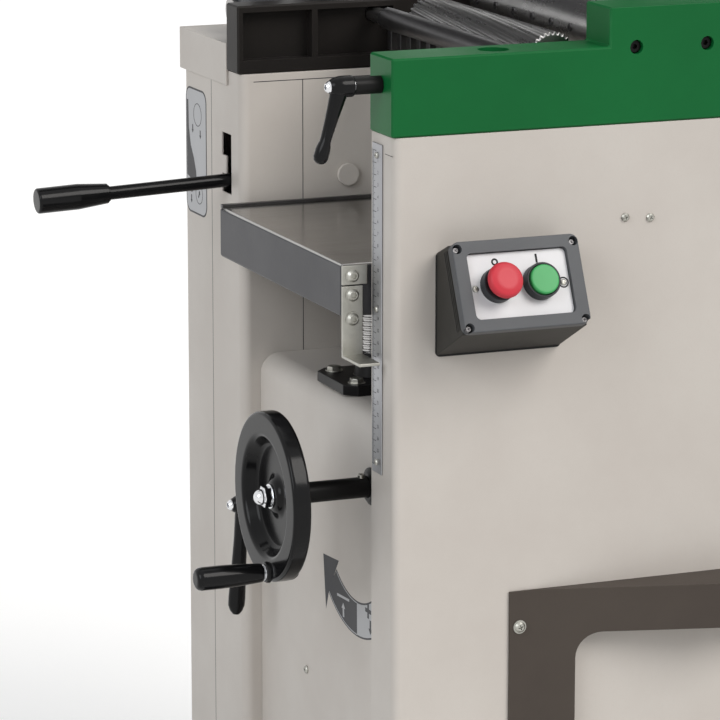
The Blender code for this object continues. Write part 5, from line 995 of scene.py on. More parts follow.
@dataclass
class Beams:
    """The two cast beams with their bearings."""

    edge: float = 0.0012
    seal_depth: float = 0.0016
    screw_depth: float = 0.009
    screw_across: float = 0.032
    screw_z: float = 0.8147
    bore: float = 0.0128
    lip: float = 0.0045

    def build(self) -> None:
        """Make the beams."""
        dressed("front_beam", Finish.GREEN, self.edge, 2)
        dressed("rear_beam", Finish.CAST_BLACK, self.edge, 2)
        for node in ("front_bearing", "rear_bearing"):
            self._bearing(node)
        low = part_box("front_beam")[0]
        spots = [((x, low.y + self.screw_depth, self.screw_z), (0, -1, 0))
                 for x in (-self.screw_across, self.screw_across)]
        screws("beam_screws", BEAM_SCREW, spots, MACHINE, Finish.SATIN_BLACK)

    def _bearing(self, node: str) -> None:
        """A ball bearing: two rings with a seal between them."""
        low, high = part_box(node)
        centre = (low + high) / 2
        place = (centre.x, low.y, centre.z)
        outer, width = (high.x - low.x) / 2, high.y - low.y
        inner, lip = self.bore, self.lip
        rings = Shape()
        rings.lathe(eased([(outer - lip, 0), (outer, 0), (outer, width), (outer - lip, width),
                           (outer - lip, 0)], 0.0008)[1:-1], place, (0, 1, 0), ring=True)
        rings.lathe(eased([(inner, 0), (inner + lip, 0), (inner + lip, width), (inner, width), (inner, 0)],
                          0.0008)[1:-1], place, (0, 1, 0), ring=True)
        place_piece(node + "_rings", rings, Finish.STEEL, MACHINE, [node])
        seal = Shape()
        depth = self.seal_depth
        seal.lathe(eased([(inner + lip, depth), (outer - lip, depth), (outer - lip, width - depth),
                          (inner + lip, width - depth), (inner + lip, depth)], 0.0006)[1:-1],
                   place, (0, 1, 0), ring=True)
        place_piece(node + "_seal", seal, Finish.RUBBER, MACHINE)


@dataclass
class CutterAndDrive:
    """Cutterblock with its wedge screws, the pulleys, belt and motor."""

    screw_rows: int = 7
    screw_radius: float = 0.0034
    wedge_turn: float = 27.0
    cutter_z: float = 0.814
    cutter_radius: float = 0.035
    cutter_front: float = -0.1855
    cutter_back: float = 0.0825
    row_inset: float = 0.018
    knives: int = 3
    motor_radius: float = 0.085
    motor_z: float = 0.192
    fins: int = 28
    fin_depth: float = 0.014
    fin_inset: float = 0.028

    def build(self) -> None:
        """Make the cutter and its drive."""
        dressed("cutterblock", Finish.STEEL, 0.0003)
        self._wedge_screws()
        dressed("cutter_pulley", Finish.ALUMINIUM, 0.0003)
        dressed("motor_pulley", Finish.ALUMINIUM, 0.0003)
        dressed("drive_belt", Finish.RUBBER, 0.0003)
        self._motor()

    def _wedge_screws(self) -> None:
        """Socket screws that press the wedges against the knives."""
        start, end = self.cutter_front + self.row_inset, self.cutter_back - self.row_inset
        kind = Screw(Head.SOCKET, self.screw_radius, 0.0016)
        shape = Shape()
        for knife in range(self.knives):
            angle = FULL_TURN * knife / self.knives + pi / 2 + radians(180 + self.wedge_turn)
            way = Vector((cos(angle), 0, sin(angle)))
            for row in range(self.screw_rows):
                y = start + (end - start) * row / (self.screw_rows - 1)
                spot = Vector((0, y, self.cutter_z)) + way * (self.cutter_radius - 0.0004)
                kind.add(shape, spot, way, 30.0 * row)
        place_piece("wedge_screws", shape, Finish.DARK_IRON, BODY_OF["cutterblock"])

    def _motor(self) -> None:
        """Finned motor on its foot."""
        low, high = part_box("motor")
        radius = self.motor_radius
        centre = Vector((0, low.y, self.motor_z))
        length = high.y - low.y
        shape = Shape.of_node("motor").soften(0.0015)
        fins = Shape()
        for number in range(self.fins):
            angle = FULL_TURN * number / self.fins
            if radians(225) < angle < radians(315):
                continue
            place = Matrix.Translation(centre) @ Matrix.Rotation(-angle, 4, "Y")
            fins.box((radius - self.fin_depth, self.fin_inset, -0.0012),
                     (radius + 0.0004, length - self.fin_inset, 0.0012), place, 0.0005, 1)
        place_piece("motor_finished", shape, Finish.DARK_PAINT, MACHINE, ["motor"])
        place_piece("motor_fins", fins, Finish.DARK_PAINT, MACHINE)


@dataclass
class FeedRollers:
    """Infeed roller with spiral teeth, knurled outfeed roller, and the anti-kickback row."""

    journal: float = 0.008
    radius: float = 0.022
    end_gap: float = 0.022
    wall_y: float = -0.2035
    rear_y: float = 0.1005
    teeth: int = 30
    tooth_depth: float = 0.0016
    twist: float = 55.0
    rows: int = 24

    def build(self) -> None:
        """Make the rollers."""
        self._roller("infeed_roller", self.teeth, self.tooth_depth, self.twist)
        self._roller("outfeed_roller", 2 * self.teeth, self.tooth_depth / 3, 0.0)
        dressed("finger_shaft", Finish.STEEL, 0.0004)
        dressed("kickback_fingers", Finish.DARK_IRON, 0.0004)

    def _roller(self, node: str, teeth: int, depth: float, twist: float) -> None:
        """One roller, its teeth running round it with a twist."""
        low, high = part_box(node)
        centre = Vector(((low.x + high.x) / 2, 0, (low.z + high.z) / 2))
        front, back = self.wall_y + self.end_gap, self.rear_y - self.end_gap

        def toothed(angle: float) -> float:
            """The radius at an angle, with flat-topped teeth."""
            wave = cos(angle * teeth)
            return self.radius - depth / 2 + depth / 2 * max(-1.0, min(1.0, 1.8 * wave))

        def at(y: float, turn: float) -> Matrix:
            """A ring's place along the roller."""
            return along((centre.x, y, centre.z), (0, 1, 0)) @ Matrix.Rotation(radians(turn), 4, "Z")

        shape = Shape()
        smooth = disc(self.radius - depth - 0.001)
        rings = [(at(front, 0), smooth)]
        for row in range(self.rows + 1):
            share = row / self.rows
            y = front + 0.001 + (back - front - 0.002) * share
            rings.append((at(y, twist * share), toothed))
        rings.append((at(back, twist), smooth))
        shape.stack(rings, 6 * self.teeth)
        for start, end in ((low.y, front + 0.002), (back - 0.002, high.y)):
            shape.rod((centre.x, start, centre.z), (centre.x, end, centre.z), self.journal, ease=0.0006)
        place_piece(node + "_finished", shape, Finish.STEEL, BODY_OF[node], [node])


@dataclass
class ThicknessTable:
    """Thickness table with its lift screws, pointer tab, angle bracket and screw housings."""

    strip_height: float = 0.0026
    strip_width: float = 0.0042
    screw_radius: float = 0.0105
    thread_depth: float = 0.0016
    thread_pitch: float = 0.004
    bolt_inset: float = 0.014
    flange_rise: float = 0.0093

    def build(self) -> None:
        """Make the table and its lift."""
        table = dressed("thickness_table", Finish.TABLE_PAINT, 0.0008)
        face_finish(table, Finish.PLANED_IRON, (0, 0, 1))
        self._strip()
        for node in ("lift_screw_left", "lift_screw_right"):
            self._lift_screw(node)
        dressed("pointer_tab", Finish.ZINC, 0.0005)
        dressed("angle_bracket", Finish.ZINC, 0.0005)
        self._tab_screws()
        for node in ("screw_housing_left", "screw_housing_right"):
            dressed(node, Finish.SATIN_BLACK, 0.0008)
            self._housing_bolts(node)

    def _strip(self) -> None:
        """Raised edge strip along the far side of the table."""
        low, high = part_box("thickness_table")
        shape = Shape()
        shape.box((low.x + 0.001, high.y - self.strip_width, high.z - 0.001),
                  (high.x - 0.001, high.y - 0.0001, high.z + self.strip_height), ease=0.0006)
        place_piece("table_edge_strip", shape, Finish.DARK_IRON, TABLE_BODY)

    def _lift_screw(self, node: str) -> None:
        """A lift screw with its thread."""
        low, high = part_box(node)
        x, y = (low.x + high.x) / 2, (low.y + high.y) / 2
        core = self.screw_radius - self.thread_depth
        turns = int((high.z - low.z - 0.006) / self.thread_pitch)
        shape = Shape()
        shape.rod((x, y, low.z), (x, y, high.z), core + 0.0002, ease=0.001)
        shape.helix(self.screw_radius, self.thread_depth, self.thread_pitch, turns, (x, y, low.z + 0.003))
        place_piece(node + "_threaded", shape, Finish.STEEL, TABLE_BODY, [node])

    def _tab_screws(self) -> None:
        """Button-head screws in the tab and the bracket."""
        tab_low, tab_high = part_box("pointer_tab")
        angle_low, angle_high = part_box("angle_bracket")
        x = (angle_low.x + angle_high.x) / 2
        spots = [((x, tab_low.y, (tab_low.z + tab_high.z) / 2 - 0.0005), (0, -1, 0))]
        spots += [((x, tab_low.y, angle_high.z - drop), (0, -1, 0)) for drop in (0.0075, 0.0275)]
        screws("tab_screws", TAB_SCREW, spots, TABLE_BODY)

    def _housing_bolts(self, node: str) -> None:
        """Hex bolts at a housing's corners."""
        low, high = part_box(node)
        inset = self.bolt_inset
        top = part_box("cabinet")[1].z + self.flange_rise
        spots = [((x, y, top), (0, 0, 1)) for x in (low.x + inset, high.x - inset)
                 for y in (low.y + inset, high.y - inset)]
        screws(node + "_bolts", FLANGE_BOLT, spots, MACHINE)


@dataclass
class LiftDrive:
    """Turning nuts, chain and bevel gears under the deck."""

    edge: float = 0.0003

    def build(self) -> None:
        """Make the lift's drive."""
        for node in ("lift_nut_left", "lift_nut_right"):
            dressed(node, Finish.BRONZE, self.edge)
        dressed("chain_drive_gear", Finish.STEEL, self.edge)
        dressed("lift_chain", Finish.DARK_IRON, self.edge)
        dressed("gear_hanger", Finish.DARK_PAINT, 2 * self.edge)


@dataclass
class Handwheel:
    """Handwheel on its shaft, with the crank grip and the dome nut."""

    centre_y: float = -0.1645
    centre_z: float = 0.4455
    back: float = -0.3093
    front: float = -0.3250
    radius: float = 0.0708
    bore: float = 0.0062
    hub_radius: float = 0.0135
    hub_front: float = -0.3188
    hub_back: float = -0.3053
    dish_radius: float = 0.0505
    dish_floor: float = -0.3130
    web_back: float = -0.3070
    flange_thick: float = 0.005

    def build(self) -> None:
        """Make the handwheel set."""
        self._wheel()
        self._shaft()
        self._nut()
        self._crank()

    def _axis_point(self, x: float) -> Vector:
        """A point on the wheel's axis."""
        return Vector((x, self.centre_y, self.centre_z))

    def _wheel(self) -> None:
        """The dished wheel, gloss black."""
        depth = -self.front
        profile = [(self.bore, -self.hub_back), (self.hub_radius, -self.hub_back),
                   (self.hub_radius + 0.002, -self.web_back), (self.dish_radius - 0.005, -self.web_back),
                   (self.dish_radius - 0.001, -self.back), (self.radius, -self.back), (self.radius, depth),
                   (self.dish_radius, depth), (self.dish_radius - 0.006, -self.dish_floor),
                   (self.hub_radius + 0.004, -self.dish_floor), (self.hub_radius - 0.001, -self.hub_front),
                   (self.bore, -self.hub_front)]
        shape = Shape()
        shape.lathe(eased(profile, 0.0034, 6), self._axis_point(0), (-1, 0, 0), 160, ring=True)
        place_piece("handwheel_finished", shape, Finish.PHENOLIC, WHEEL_BODY, ["handwheel"])

    def _shaft(self) -> None:
        """The shaft with its pinion, its set screw and the flange it runs in."""
        dressed("handwheel_shaft", Finish.SATIN_BLACK, 0.0004)
        grub = Shape()
        spot = (-0.2385, self.centre_y, self.centre_z + 0.0084)
        Screw(Head.GRUB, 0.0032, 0.0030).add(grub, spot, (0, 0, 1))
        place_piece("shaft_set_screw", grub, Finish.ZINC, WHEEL_BODY)
        low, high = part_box("shaft_flange")
        outer, bore = (high.z - low.z) / 2, 0.0094
        flange = Shape()
        profile = [(bore, 0), (outer, 0), (outer, 0.0022), (outer - 0.004, self.flange_thick),
                   (bore, self.flange_thick)]
        flange.lathe(eased(profile, 0.001), (high.x, self.centre_y, self.centre_z), (-1, 0, 0), ring=True)
        place_piece("shaft_flange_finished", flange, Finish.SATIN_BLACK, MACHINE, ["shaft_flange"])

    def _nut(self) -> None:
        """Chrome dome nut with its six flats."""
        low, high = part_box("dome_nut")
        length = high.x - low.x
        dome = 0.0067
        shape = Shape()
        place = self._axis_point(high.x)
        washer = [(0, 0), (0.0104, 0), (0.0104, 0.0010), (0.0082, 0.0012), (0.0082, 0.002), (0, 0.002)]
        shape.lathe(eased(washer, 0.0003, 2), place, (-1, 0, 0), SMALL_STEPS)
        ring = along(place, (-1, 0, 0))
        flats = 0.0081
        shape.stack([(ring @ Matrix.Translation((0, 0, 0.0013)), polygon(flats, 6)),
                     (ring @ Matrix.Translation((0, 0, 0.0066)), polygon(flats, 6)),
                     (ring @ Matrix.Translation((0, 0, 0.0076)), disc(flats - 0.0010))], 48)
        curve = [(dome * cos(turn), length - dome + dome * sin(turn))
                 for turn in (pi / 2 * step / 12 for step in range(13))]
        shape.lathe([(0, 0.004), (dome, 0.004), *curve[:-1], (0, length)], place, (-1, 0, 0), SMALL_STEPS)
        place_piece("dome_nut_finished", shape, Finish.CHROME, WHEEL_BODY, ["dome_nut"])

    def _crank(self) -> None:
        """The crank's ferrule, grip and the nut behind the rim."""
        low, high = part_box("crank_grip")
        y, z = (low.y + high.y) / 2, (low.z + high.z) / 2
        ferrule = Shape()
        profile = [(0, -0.002), (0.0066, -0.002), (0.0066, 0.0034), (0.0054, 0.0037), (0.0054, 0.0040),
                   (0.0063, 0.0041), (0.0063, 0.0045), (0, 0.0045)]
        ferrule.lathe(eased(profile, 0.0003, 3), (self.front, y, z), (-1, 0, 0))
        place_piece("crank_ferrule", ferrule, Finish.CHROME, WHEEL_BODY)
        boss = Shape()
        boss.lathe(eased([(0.0068, -0.001), (0.0092, -0.001), (0.0085, 0.0024), (0.0068, 0.0024),
                          (0.0068, -0.001)], 0.0006)[1:-1], (self.front, y, z), (-1, 0, 0), ring=True)
        place_piece("crank_boss", boss, Finish.PHENOLIC, WHEEL_BODY)
        nut = Shape()
        profile = [(0, -0.001), (0.0085, -0.001), (0.0085, 0.006), (0.0060, 0.0105), (0, 0.0115)]
        nut.lathe(eased(profile, 0.002), (self.back, y, z), (1, 0, 0))
        place_piece("crank_back_nut", nut, Finish.PHENOLIC, WHEEL_BODY)
        grip = Shape()
        length = high.x - low.x
        profile = [(0, 0), (0.0074, 0), (0.0079, 0.0015), (0.0092, length * 0.35), (0.0097, length * 0.62),
                   (0.0097, length - 0.0030), (0.0072, length), (0, length)]
        grip.lathe(eased(profile, 0.0026, 6), (high.x, y, z), (-1, 0, 0))
        place_piece("crank_grip_finished", grip, Finish.PHENOLIC, BODY_OF["crank_grip"], ["crank_grip"])


ARM_CUTS = ((0.0, 0.0066, 0.0074), (0.06, 0.0066, 0.0074), (0.14, 0.0062, 0.0070), (0.30, 0.0056, 0.0060),
            (0.50, 0.0052, 0.0050), (0.66, 0.0051, 0.0045), (0.72, 0.0053, 0.0046), (0.76, 0.0061, 0.0054),
            (0.82, 0.0064, 0.0060), (0.92, 0.0062, 0.0061), (0.965, 0.0052, 0.0052), (0.99, 0.0032, 0.0033),
            (1.0, 0.0010, 0.0010))
LOCK_CUTS = ((0.0, 0.0062, 0.0064), (0.06, 0.0062, 0.0064), (0.30, 0.0060, 0.0060), (0.60, 0.0060, 0.0068),
             (0.85, 0.0060, 0.0078), (0.92, 0.0058, 0.0076), (0.97, 0.0050, 0.0056), (1.0, 0.0034, 0.0030))


@dataclass
class ClampLever:
    """An adjustable clamping lever: spacer, hub, chrome screw and hanging arm."""

    node: str
    length: float
    splay: float
    side: int = -1
    spacer_radius: float = 0.0072
    spacer_length: float = 0.0236
    hub_radius: float = 0.0087
    hub_length: float = 0.0230
    cuts: tuple = ARM_CUTS

    def build(self) -> None:
        """Make the lever."""
        body = BODY_OF[self.node]
        low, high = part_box(self.node)
        start = high.x if self.side < 0 else low.x
        y, z = (low.y + high.y) / 2, high.z - self.hub_radius
        out = Vector((self.side, 0, 0))
        face = Vector((start, y, z))
        spacer = Shape()
        ring = self.spacer_radius
        spacer.lathe(eased([(0, 0), (ring, 0), (ring, self.spacer_length), (0, self.spacer_length)], 0.0006),
                     face, out)
        place_piece(self.node + "_spacer", spacer, Finish.SATIN_BLACK, body, [self.node])
        collar = Shape()
        collar.rod(face + out * (self.spacer_length - 0.001), face + out * (self.spacer_length + 0.0012),
                   ring - 0.0006)
        place_piece(self.node + "_collar", collar, Finish.CHROME, body)
        self._hub(face, out, body)

    def _hub(self, face: Vector, out: Vector, body: str) -> None:
        """The moulded hub and arm, and the screw in the hub's end."""
        hub_start = face + out * (self.spacer_length + 0.0006)
        end = self.hub_length - 0.0006
        shape = Shape()
        wide = self.hub_radius
        profile = [(0, 0), (wide - 0.0004, 0), (wide, 0.0010), (wide, end * 0.48), (wide * 0.86, end * 0.74),
                   (wide * 0.62, end - 0.0028), (wide * 0.62, end - 0.0026), (0, end - 0.0026)]
        shape.lathe(eased(profile, 0.0016, 4), hub_start, out)
        lean = radians(self.splay)
        down = (out * sin(lean) + Vector((0, 0, -cos(lean)))).normalized()
        side = Vector((0, 1, 0))
        thick = down.cross(side).normalized()
        root = hub_start + out * end * 0.45
        rings = []
        for share, wide, deep in self.cuts:
            spot = root + down * self.length * share
            turn = Matrix((side, thick, down)).transposed().to_4x4()
            rings.append((Matrix.Translation(spot) @ turn, oval(wide, deep)))
        shape.stack(rings, 32)
        place_piece(self.node + "_arm", shape, Finish.PHENOLIC, body)
        cap = Shape()
        LEVER_SCREW.add(cap, hub_start + out * (end - 0.0030), out, 12)
        place_piece(self.node + "_screw", cap, Finish.CHROME, body)


@dataclass
class FeedLever:
    """Feed lever rod in its slot, with its grip."""

    droop: float = 2.4
    reach: float = 0.2135
    pivot: tuple[float, float, float] = (-0.145, 0.1326, 0.66219)
    grip_length: float = 0.065

    def build(self) -> None:
        """Make the lever."""
        body = BODY_OF["feed_lever"]
        dressed("feed_lever", Finish.PHENOLIC, 0.0006)
        dressed("feed_lever_pin", Finish.CREAM, 0.0004)
        pivot = Vector(self.pivot)
        out = Vector((-cos(radians(self.droop)), 0, -sin(radians(self.droop))))
        grip = Shape()
        long = self.grip_length
        profile = [(0, 0), (0.0086, 0), (0.0088, 0.0004), (0.0113, long * 0.42), (0.0112, long - 0.0012),
                   (0.0100, long), (0, long)]
        grip.lathe(eased(profile, 0.0011, 3), pivot + out * self.reach, out)
        place_piece("feed_grip_finished", grip, Finish.PHENOLIC, body, ["feed_grip"])
        collar = Shape()
        collar.rod(pivot + out * (self.reach - 0.0016), pivot + out * (self.reach + 0.002), 0.0072,
                   ease=0.0004)
        place_piece("feed_grip_collar", collar, Finish.PHENOLIC, body)


@dataclass
class SwitchBox:
    """Switch box with its lid, plate and two buttons, tilted to face upwards."""

    face: tuple[float, float, float] = (-0.15365, -0.2905, 0.63356)
    tilt: float = 24.596
    lid_width: float = 0.1105
    lid_height: float = 0.0750
    lid_back: float = 0.0003
    lid_front: float = 0.0088
    lid_corner: float = 0.0065
    recess: float = 0.0040
    plate_width: float = 0.0870
    plate_height: float = 0.0540
    plate_corner: float = 0.004
    button_pitch: float = 0.0375
    button_shift: float = -0.0015
    wall_low: float = 0.5724
    wall_high: float = 0.6571
    screw_across: float = 0.0508
    screw_up: tuple[float, float] = (-0.0334, 0.0314)
    hole_radius: float = 0.0039
    hole_depth: float = 0.0060
    plate_screws: tuple[float, float] = (-0.0392, 0.0380)
    plate_screw_up: float = -0.0014
    bezels: tuple = ((0.0142, 0.0135, 0.0026), (0.0146, 0.0143, 0.0058))

    def place(self) -> Matrix:
        """The lid's drawing: first axis to the right, second up the slope, third out of the face."""
        lean = radians(self.tilt)
        return plane(self.face, (1, 0, 0), (0, sin(lean), cos(lean)))

    def build(self) -> None:
        """Make the switch box."""
        self._box()
        self._lid()
        self._plate()
        self._buttons()

    def _box(self) -> None:
        """The moulded box with its gasket and side ribs."""
        # The box and its ribs take the box's finish, with its painted shade.
        dressed("switch_box", Finish.BOX_PLASTIC, 0.0022, 4)
        low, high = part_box("switch_box")
        gasket = Shape()
        middle = (low + high) / 2
        tall = self.wall_high - self.wall_low
        gasket.slab(high.x - low.x + 0.0012, tall + 0.0014, 0.004, 0.0001, 0.0020,
                    front_face(middle.x, high.y, self.wall_low + tall / 2), 0.0004)
        place_piece("switch_box_gasket", gasket, Finish.RUBBER, MACHINE)
        ribs = Shape()
        half = (high.x - low.x) / 2
        for side in (-1, 1):
            for start in (-0.0022, -0.0052, -0.0082):
                spot = side * half
                ribs.box((min(spot, spot + side * 0.0004) - 0.0004, -0.0325, start - 0.0012),
                         (max(spot, spot + side * 0.0004), 0.0335, start), self.place(), 0.0003, 1)
        place_piece("switch_box_ribs", ribs, Finish.BOX_PLASTIC, MACHINE)

    def _screw_spots(self) -> list[tuple[float, float]]:
        """The four lid screws, on the lid's drawing."""
        return [(side * self.screw_across, up) for side in (-1, 1) for up in self.screw_up]

    def _button_spots(self) -> list[tuple[float, float]]:
        """The two buttons, on the lid's drawing: stop on the left, start on the right."""
        return [(self.button_shift + side * self.button_pitch / 2, 0.0) for side in (-1, 1)]

    def _lid(self) -> None:
        """The lid, recessed for the plate, with its screws at the bottom of their holes."""
        at = self.place()
        lid = Shape()
        lid.slab(self.lid_width, self.lid_height, self.lid_corner, self.lid_back, self.lid_front, at, 0.0010)
        piece = place_piece("switch_lid_finished", lid, Finish.LID_PLASTIC, MACHINE, ["switch_lid"])
        cutter = Shape()
        cutter.slab(self.plate_width + 0.0008, self.plate_height + 0.0008, self.plate_corner + 0.0004,
                    self.lid_front - self.recess - 0.0012, self.lid_front + 0.002, at)
        for x, y in self._screw_spots():
            start = at @ Vector((x, y, self.lid_front - self.hole_depth))
            cutter.rod(start, at @ Vector((x, y, self.lid_front + 0.002)), self.hole_radius)
        for x, y in self._button_spots():
            start = at @ Vector((x, y, self.lid_back - 0.004))
            cutter.rod(start, at @ Vector((x, y, self.lid_front - self.recess)), 0.0122)
        carved(piece, cutter)
        out = at.to_3x3() @ Vector((0, 0, 1))
        spots = [(at @ Vector((x, y, self.lid_front - self.hole_depth)), out)
                 for x, y in self._screw_spots()]
        screws("lid_screws", Screw(Head.PAN, 0.0031, 0.0020), spots, MACHINE, Finish.DARK_IRON)

    def _plate(self) -> None:
        """The pale plate with its O and I, its two small screws and the bezels."""
        at = self.place()
        top = self.lid_front - self.recess
        plate = Shape()
        plate.slab(self.plate_width, self.plate_height, self.plate_corner, top - 0.001, top, at, 0.0002)
        place_piece("switch_plate_finished", plate, Finish.PRINT_WHITE, MACHINE, ["switch_plate"])
        marks = Shape()
        high = top + 0.00008
        marks.band(0.0015, 0.0030, 0, 360, top - 0.0001, high,
                   at @ Matrix.Translation((-0.0188, 0.0196, 0)))
        marks.box((0.0168, 0.0164, top - 0.0001), (0.0186, 0.0238, high), at)
        marks.band(0.0034, 0.0046, 0, 360, top - 0.0001, high,
                   at @ Matrix.Translation((self.plate_screws[1], self.plate_screw_up, 0)))
        place_piece("switch_marks", marks, Finish.INK, MACHINE)
        out = at.to_3x3() @ Vector((0, 0, 1))
        spots = [(at @ Vector((x, self.plate_screw_up, top)), out) for x in self.plate_screws]
        screws("plate_screws", Screw(Head.PAN, 0.0027, 0.0013), spots, MACHINE, Finish.ZINC)
        bezels = Shape()
        for (x, y), (wide, tall, deep) in zip(self._button_spots(), self.bezels):
            profile = [(0.0097, top - 0.011), (0.0115, top - 0.011), (0.0115, top - 0.0012),
                       (wide + 0.0002, top - 0.0012), (wide, tall), (wide - 0.0018, tall),
                       (wide - 0.0018, tall - deep), (0.0097, tall - deep)]
            centre = at @ Vector((x, y, 0))
            bezels.lathe(eased(profile, 0.0005, 3), centre, out, ring=True)
        place_piece("button_bezels", bezels, Finish.BEZEL, MACHINE)

    def _buttons(self) -> None:
        """The red mushroom and the flush green button."""
        at = self.place()
        out = at.to_3x3() @ Vector((0, 0, 1))
        (stop_x, stop_y), (start_x, start_y) = self._button_spots()
        front = self.lid_front
        stop = Shape()
        profile = [(0, -0.002), (0.0090, -0.002), (0.0090, front + 0.0098), (0.0110, front + 0.0100),
                   (0.0148, front + 0.0128), (0.0150, front + 0.0150), (0.0136, front + 0.0186),
                   (0.0085, front + 0.0200), (0, front + 0.0200)]
        stop.lathe(eased(profile, 0.0016, 5), at @ Vector((stop_x, stop_y, 0)), out)
        place_piece("stop_button_finished", stop, Finish.RED, BODY_OF["stop_button"], ["stop_button"])
        start = Shape()
        profile = [(0, -0.002), (0.0090, -0.002), (0.0090, front + 0.0036), (0.0122, front + 0.0036),
                   (0.0122, front + 0.0078), (0.0112, front + 0.0085), (0, front + 0.0083)]
        start.lathe(eased(profile, 0.0006, 3), at @ Vector((start_x, start_y, 0)), out)
        place_piece("start_button_finished", start, Finish.START_GREEN, BODY_OF["start_button"],
                    ["start_button"])


@dataclass
class ThicknessScale:
    """Scale strip with its divisions, its numbers and three screws."""

    minor: float = 0.001
    long_mark: float = 0.0085
    middle_mark: float = 0.0058
    short_mark: float = 0.0036
    ink: float = 0.00005
    digit_height: float = 0.0042

    def build(self) -> None:
        """Make the scale."""
        low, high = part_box("thickness_scale")
        dressed("thickness_scale", Finish.SCALE_STRIP, 0.0003)
        marks = Shape()
        face = low.x
        count = int((high.z - low.z - 0.012) / self.minor)
        edge = high.y - 0.0006
        for number in range(count + 1):
            z = high.z - 0.006 - number * self.minor
            reach = self.short_mark
            if number % 5 == 0:
                reach = self.middle_mark
            if number % 10 == 0:
                reach = self.long_mark
            half = 0.00016 if number % 10 else 0.00026
            marks.box((face - self.ink, edge - reach, z - half), (face + self.ink, edge, z + half))
            if number % 10 == 0 and 0 < number < count:
                marks.lettering(str(number // 10), self.digit_height, -self.ink, self.ink,
                                end_face(face, edge - self.long_mark - 0.0034, z + 0.0024))
        place_piece("scale_marks", marks, Finish.INK, MACHINE)
        y = (low.y + high.y) / 2 - 0.0004
        spots = [((face, y, z), (-1, 0, 0)) for z in (high.z - 0.0095, 0.6075, low.z + 0.009)]
        screws("scale_screws", SCALE_SCREW, spots, MACHINE)


@dataclass
class LowerGuard:
    """Folded guard low on the front wall."""

    screw_inset: float = 0.009
    screw_drop: float = 0.0305

    def build(self) -> None:
        """Make the guard and its screws."""
        dressed("lower_guard", Finish.BROWN_BLACK, 0.0006)
        low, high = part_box("lower_guard")
        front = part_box("front_wall")[0].y - 0.0023
        spots = [((x, front, z), (0, -1, 0)) for x in (low.x + self.screw_inset, high.x - self.screw_inset)
                 for z in (high.z - self.screw_drop, low.z + self.screw_drop)]
        screws("guard_screws", Screw(Head.PAN, 0.0046, 0.0028, washer=0.0058), spots, MACHINE)


